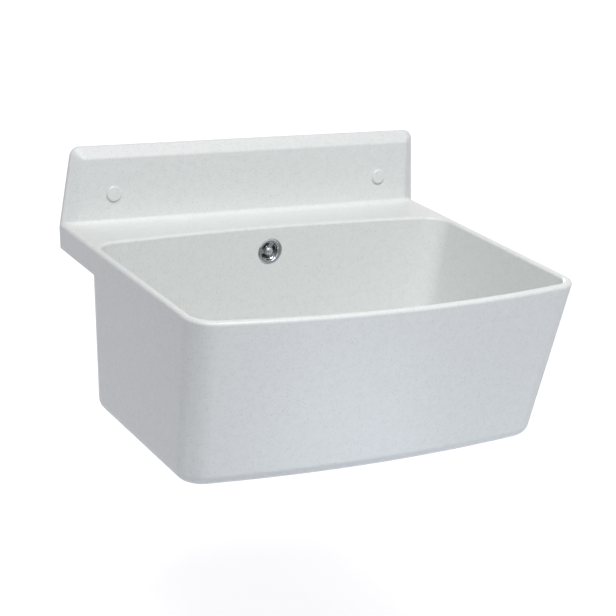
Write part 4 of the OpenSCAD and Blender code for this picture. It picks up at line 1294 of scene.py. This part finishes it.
# ---------- Hose ----------
class SINK_OT_hose(bpy.types.Operator):
    """Builds the ribbed overflow hose and its two nuts"""

    bl_idname = "sink.hose"
    bl_label = "Hose"

    BEND_STEPS = 48      # steps round the hose's bend
    # In millimetres
    NUT_LENGTH = 23      # length of a nut
    NUT_THREAD = 18      # depth of its thread, with the seal at its end
    GRIP = 0.8           # how far its grip bars stand proud
    GRIP_ROOT = 1.6      # how far they reach into the nut
    GRIP_START = 1.5     # from the nut's open end to the bars
    GRIP_HALF = 1.2      # half the width of a bar
    GRIP_EDGE = 0.55     # radius of its edges

    def execute(self, context):
        sizes = context.scene.sink_overflow
        upper, lower = middle("hose_nut_upper"), middle("hose_nut_lower")
        start = Vector((upper.x, upper.y, high("overflow_hose").z))
        end = Vector((upper.x, low("overflow_hose").y, lower.z))
        self.tube(sizes, start, end)
        top = Matrix.Translation((upper.x, upper.y, high("hose_nut_upper").z))
        bottom = Matrix.Translation((upper.x, low("hose_nut_lower").y, lower.z))
        self.nut(sizes, "hose_nut_top", "hose_nut_upper", top @ Matrix.Rotation(math.pi, 4, "X"))
        self.nut(sizes, "hose_nut_bottom", "hose_nut_lower", bottom @ Matrix.Rotation(-QUARTER_TURN, 4, "X"))
        repaint("hose_seals")
        return {"FINISHED"}

    def tube(self, sizes, start, end):
        """Ribbed hose, straight down from its start, then bent towards the room to its end."""
        bend = sizes.hose_bend
        corner = Vector((start.x, start.y - bend, end.z + bend))
        turns = quarter(self.BEND_STEPS)
        arc = [corner + Vector((0, bend * math.cos(a), -bend * math.sin(a))) for a in turns]
        points = [start, *arc, end]
        curve = bpy.data.curves.new("route", "CURVE")
        curve.dimensions = "3D"
        spline = curve.splines.new("POLY")
        spline.points.add(len(points) - 1)
        for point, place in zip(spline.points, points):
            point.co = (*place, 1)
        whole = sum((b - a).length for a, b in zip(points, points[1:]))
        route = new_object("route", curve)
        piece = new_object("ribbed_hose", bpy.data.meshes.new("ribbed_hose"))
        grown(piece, hose_tree(), Route=route, Radius=sizes.hose, Rib=sizes.hose_rib, Pitch=sizes.hose_pitch,
              Cuff=sizes.cuff, Cuff_Radius=sizes.cuff_radius, Length=whole,
              Material=material_for("hose_plastic"))
        bpy.data.objects.remove(route)
        facing_out(piece.data)
        wall = piece.modifiers.new("wall", "SOLIDIFY")
        wall.thickness = sizes.hose_wall
        wall.offset = -1
        applied(piece)
        finished(piece, "hose_plastic", "overflow_hose", sharp=50)

    def nut(self, sizes, name, node_name, place):
        """Union nut with a coned end and grip bars round it."""
        port, cuff = sizes.port / MM + 0.05, sizes.cuff_radius / MM + PLAY
        base, span, thread = radius_of(node_name) / MM - self.GRIP, self.NUT_LENGTH, self.NUT_THREAD
        piece = new_object(name, revolved(name, [
            (port, 0, 0.4), (base, 0, 0.5), (base, span - 3), (base - 2.4, span, 0.8), (cuff, span, 0.4),
            (cuff, thread), (port, thread)]))
        half = self.GRIP_HALF * MM
        bar = box_mesh("bar", (-self.GRIP_ROOT * MM, -half, self.GRIP_START * MM),
                       (self.GRIP * MM, half, thread * MM), self.GRIP_EDGE * MM)
        ringed(piece, "UNION", bar, sizes.grips, "white_plastic", radius=base * MM)
        moved(piece.data, place)
        finished(piece, "white_plastic", node_name)


# ---------- Waste ----------
class SINK_OT_waste(bpy.types.Operator):
    """Builds the strainer, its screw, the waste body and the plug"""

    bl_idname = "sink.waste"
    bl_label = "Waste"

    # In millimetres
    FLANGE_LOW = -1.5                      # underside of the strainer's flange
    PERFORATIONS = ((6, 9), (12, 17.5))    # how many in a ring, and the ring's radius
    PERFORATION = 2.8                      # radius of each
    BODY_FLANGE = 4                        # thickness of the waste body's flange
    HUB, HUB_TOP, HUB_LOW = 8, -11, -29    # radius, top and underside of the hub that takes the screw
    ARM = 1.25                             # half the thickness of its arms
    INSERT_HOLE = 5.05                     # radius of the brass insert's hole
    OUTLET_PITCH = 2.309                   # pitch of the outlet's thread
    PLUG_GAP = 0.45                        # gap between plug and dish

    def execute(self, context):
        sizes, overflow = context.scene.sink_waste, context.scene.sink_overflow
        centre = middle("strainer")
        floor = Matrix.Translation((centre.x, centre.y, high("strainer").z))
        self.strainer(sizes, floor)
        dish_floor = -sizes.dish / MM
        tail = (low("strainer_screw").z - high("strainer").z) / MM - dish_floor
        screw = slotted_screw("strainer_bolt", head=sizes.stem_head / MM, edge=1.2, dome=1.6, slot=1.6,
                              bolt=sizes.stem / MM, tail=tail, turn=math.radians(20))
        moved(screw.data, floor @ Matrix.Translation((0, 0, dish_floor * MM)))
        finished(screw, "stainless", "strainer_screw")
        self.body(sizes, overflow, Matrix.Translation((centre.x, centre.y, high("waste_body").z)))
        self.plug(sizes, floor)
        repaint("strainer_seal", "waste_seal", "waste_insert")
        return {"FINISHED"}

    def strainer(self, sizes, place):
        """Pressed dish with a flange and two rings of perforations."""
        flange, hole, sheet = radius_of("strainer") / MM, sizes.stem / MM + PLAY, sizes.sheet / MM
        deep, top, bottom, under = -sizes.dish / MM, sizes.dish_top / MM, sizes.dish_low / MM, self.FLANGE_LOW
        piece = new_object("strainer_dish", revolved("strainer_dish", [
            (hole, deep - sheet), (bottom + sheet, deep - sheet, 2.4), (top + sheet, under, 1.0),
            (flange, under, 0.3), (flange, -0.7, 0.4), (flange - 1.6, 0, 1.0), (top, 0, 1.6),
            (bottom, deep, 1.4), (hole, deep)], 128))
        drill = [(0, deep - 4), (self.PERFORATION, deep - 4), (self.PERFORATION, deep + 3), (0, deep + 3)]
        for count, radius in self.PERFORATIONS:
            ringed(piece, "DIFFERENCE", revolved("drill", drill, 32), count, "stainless", radius=radius * MM)
        moved(piece.data, place)
        finished(piece, "stainless", "strainer")

    def body(self, sizes, overflow, place):
        """Cup under the strainer with its outlet, its side branch and the hub that takes the screw."""
        top = high("waste_body").z
        end = (low("waste_body").z - top) / MM
        bore, wall = sizes.body_bore / MM, sizes.body_wall / MM
        outer, outlet, drain = bore + wall, sizes.outlet / MM, sizes.outlet_bore / MM
        neck = end + sizes.outlet_length / MM
        cup, under = neck + sizes.cone / MM, -self.BODY_FLANGE
        flange = radius_of("waste_seal") / MM
        body = new_object("waste_cup", revolved("waste_cup", [
            (0, end), (outlet - 1.0, end, 0.5), (outlet - 1.0, neck, 0.4), (outer, cup, 2.0),
            (outer, under, 0.8), (flange, under, 0.8), (flange, 0, 0.3), (0, 0)], 128))
        thread = threaded("thread", outlet, depth=1.1, pitch=self.OUTLET_PITCH, bottom=end + 0.8,
                          top=neck - 0.2, inner=outlet - 3, steps=96)
        branch = (middle("hose_nut_lower").z - top) / MM
        reach = (high("waste_body").y - middle("strainer").y) / MM
        sideways = Matrix.Translation((0, 0, branch * MM)) @ Matrix.Rotation(-QUARTER_TURN, 4, "X")
        combined(body, [thread, *port_solids(overflow, reach, sideways)], "UNION")
        combined(body, [revolved("hollow", [
            (0, end - 2), (drain, end - 2), (drain, neck + 1.5, 1.0), (bore, cup + 1.5, 2.0), (bore, 2),
            (0, 2)], 128)], "DIFFERENCE")
        hub, hub_top, hub_low, arm = self.HUB, self.HUB_TOP, self.HUB_LOW, self.ARM
        ringed(body, "UNION", box_mesh(
            "arm", (0, -arm * MM, (hub_low + 2) * MM), ((bore + wall / 2) * MM, arm * MM, (hub_top - 2) * MM),
            0.4 * MM), sizes.arms, "white_plastic", turn=sizes.arm_turn)
        combined(body, [revolved("hub", [
            (0, hub_low), (hub, hub_low, 0.5), (hub, hub_top, 0.5), (0, hub_top)])], "UNION")
        seat = hub_top - (high("waste_insert").z - low("waste_insert").z) / MM
        stem, hole = sizes.stem / MM + PLAY, self.INSERT_HOLE
        combined(body, [
            port_bore(overflow, hub + 2, reach, sideways),
            revolved("insert", [(0, seat), (hole, seat), (hole, 0), (0, 0)]),
            revolved("stem", [(0, hub_low - 1), (stem, hub_low - 1), (stem, hub_top), (0, hub_top)])],
            "DIFFERENCE")
        moved(body.data, place)
        finished(body, "white_plastic", "waste_body")

    def plug(self, sizes, place):
        """Hollow rubber plug with a flange and a waisted knob."""
        surface_z = high("strainer").z
        radius, gap = radius_of("drain_plug") / MM, self.PLUG_GAP
        tall, deep = (high("drain_plug").z - surface_z) / MM, (surface_z - low("drain_plug").z) / MM
        top, bottom = sizes.dish_top / MM, sizes.dish_low / MM
        lower = top - (top - bottom) * deep / (sizes.dish / MM) - gap
        piece = new_object("plug_rubber", revolved("plug_rubber", [
            (0, -deep + 6), (bottom - 5, -deep + 6, 1.0), (bottom - 4, -deep, 0.8), (lower, -deep, 1.2),
            (top - gap, 0, 0.3), (radius, 0, 0.3), (radius, 2.4, 0.9), (radius - 2.2, 3, 0.8),
            (7.2, 3.6, 2.5), (4.6, 6.0, 2.4), (4.5, tall - 6.6, 1.6), (9, tall - 4.6, 1.8),
            (9, tall - 1.2, 1.4), (6, tall, 1.2), (0, tall)], 128, place))
        finished(piece, "plug_rubber", "drain_plug", "plug")


# ---------- Stage ----------
class SINK_OT_stage(bpy.types.Operator):
    """Places the camera, the floor and the light"""

    bl_idname = "sink.stage"
    bl_label = "Stage"

    def execute(self, context):
        stage = context.scene.sink_stage
        self.camera(context, stage)
        self.floor(stage, BasinShape(context.scene.sink_basin).rim_z)
        self.world(context, stage)
        self.even_light("key", stage.key_from, stage.key_spread, stage.key_light)
        self.even_light("back", stage.back_from, stage.key_spread, stage.back_light)
        self.lamp("low", stage.low_place, stage.low_size, stage.low_light, stage.low_tint)
        self.lamp("side", stage.side_place, stage.side_size, stage.side_light, stage.low_tint)
        self.lamp("top", stage.top_place, stage.top_size, stage.top_light, (1, 1, 1))
        context.scene.view_settings.view_transform = "Standard"
        return {"FINISHED"}

    def camera(self, context, stage):
        """Camera that looks along the view's two angles, turned by its roll."""
        a, e, roll = stage.azimuth, stage.elevation, stage.roll
        back = Vector((math.sin(a) * math.cos(e), -math.cos(a) * math.cos(e), math.sin(e)))
        right = (-back).cross(Vector((0, 0, 1))).normalized()
        up = right.cross(-back)
        camera_right = right * math.cos(roll) + up * math.sin(roll)
        camera_up = up * math.cos(roll) - right * math.sin(roll)
        data = bpy.data.cameras.new("camera")
        data.sensor_width = 36
        data.lens = stage.lens
        data.clip_start, data.clip_end = 0.05, 100
        camera = new_object("camera", data)
        turn = Matrix((camera_right, camera_up, back)).transposed().to_4x4()
        camera.matrix_world = Matrix.Translation(stage.camera_place) @ turn
        context.scene.camera = camera

    def floor(self, stage, rim_z):
        """Pale floor that shows white to the camera and still takes the sink's shadow."""
        half, height = stage.floor_half, rim_z - stage.rim_height
        corners = [(-half, -half, height), (half, -half, height), (half, half, height), (-half, half, height)]
        floor = new_object("floor", mesh_from("floor", corners, [[0, 1, 2, 3]]))
        material, tree, shader, place = surface("pale_floor", stage.floor_tint, roughness=0.9, specular=0.2)
        glow = node(tree, "ShaderNodeEmission", Color=(1, 1, 1, 1),
                    Strength=maths(tree, "MULTIPLY", self.seen(tree), stage.floor_glow))
        both = node(tree, "ShaderNodeAddShader", i0=shader.outputs[0], i1=glow.outputs[0])
        tree.links.new(both.outputs[0], tree.nodes["Material Output"].inputs["Surface"])
        roughened(tree, shader, noise(tree, place, scale=4.0), least=0.8, most=0.9)
        floor.data.materials.append(material)

    def seen(self, tree):
        """1 for what the camera sees, straight or in a gloss, and 0 for light on its way to a surface."""
        path = node(tree, "ShaderNodeLightPath")
        glossy = maths(tree, "MAXIMUM", path.outputs["Is Camera Ray"], path.outputs["Is Glossy Ray"])
        return maths(tree, "MAXIMUM", glossy, path.outputs["Is Transmission Ray"])

    def world(self, context, stage):
        """Dim even light from all round, which the camera sees as white."""
        world = bpy.data.worlds.new("world")
        world.use_nodes = True
        tree = world.node_tree
        background = tree.nodes["Background"]
        seen = self.seen(tree)
        strength = node(tree, "ShaderNodeMix", {"data_type": "FLOAT"}, i0=seen, i2=stage.world_light, i3=1.0)
        tree.links.new(strength.outputs[0], background.inputs["Strength"])
        tree.links.new(blended(tree, seen, stage.world_tint, (1, 1, 1)), background.inputs["Color"])
        context.scene.world = world

    def even_light(self, name, source, spread, strength):
        """Light of one direction and strength all over, with soft shadows."""
        data = bpy.data.lights.new(name, "SUN")
        data.energy = strength
        data.angle = spread
        light = new_object(name, data)
        light.rotation_euler = Vector(source).to_track_quat("Z", "Y").to_euler()

    def lamp(self, name, stand, size, power, tint):
        """Square lamp that faces the middle of the sink and isn't seen itself."""
        data = bpy.data.lights.new(name, "AREA")
        data.shape = "SQUARE"
        data.size = size
        data.energy = power
        data.color = tint
        lamp = new_object(name, data)
        lamp.location = stand
        lamp.rotation_euler = (middle("basin") - Vector(stand)).to_track_quat("-Z", "Y").to_euler()
        lamp.visible_camera = False


# ---------- Panel ----------
OPERATORS = (SINK_OT_basin, SINK_OT_wall_fixing, SINK_OT_overflow, SINK_OT_hose, SINK_OT_waste, SINK_OT_stage)
SETTINGS = {
    "sink_basin": BasinSettings, "sink_fixing": FixingSettings, "sink_overflow": OverflowSettings,
    "sink_waste": WasteSettings, "sink_finish": FinishSettings, "sink_stage": StageSettings}


class SINK_PT_panel(bpy.types.Panel):
    """Lists the steps that build the sink"""

    bl_idname = "SINK_PT_panel"
    bl_label = "Utility sink"
    bl_space_type = "VIEW_3D"
    bl_region_type = "UI"
    bl_category = "Sink"

    def draw(self, context):
        for operator in OPERATORS:
            self.layout.operator(operator.bl_idname)


def register():
    for kind in (*SETTINGS.values(), *OPERATORS, SINK_PT_panel):
        bpy.utils.register_class(kind)
    for name, kind in SETTINGS.items():
        setattr(bpy.types.Scene, name, PointerProperty(type=kind))


def unregister():
    for name in SETTINGS:
        delattr(bpy.types.Scene, name)
    for kind in reversed((*SETTINGS.values(), *OPERATORS, SINK_PT_panel)):
        bpy.utils.unregister_class(kind)


def main():
    register()
    for operator in OPERATORS:
        getattr(bpy.ops.sink, operator.bl_idname.split(".")[1])()


if __name__ == "__main__":
    main()
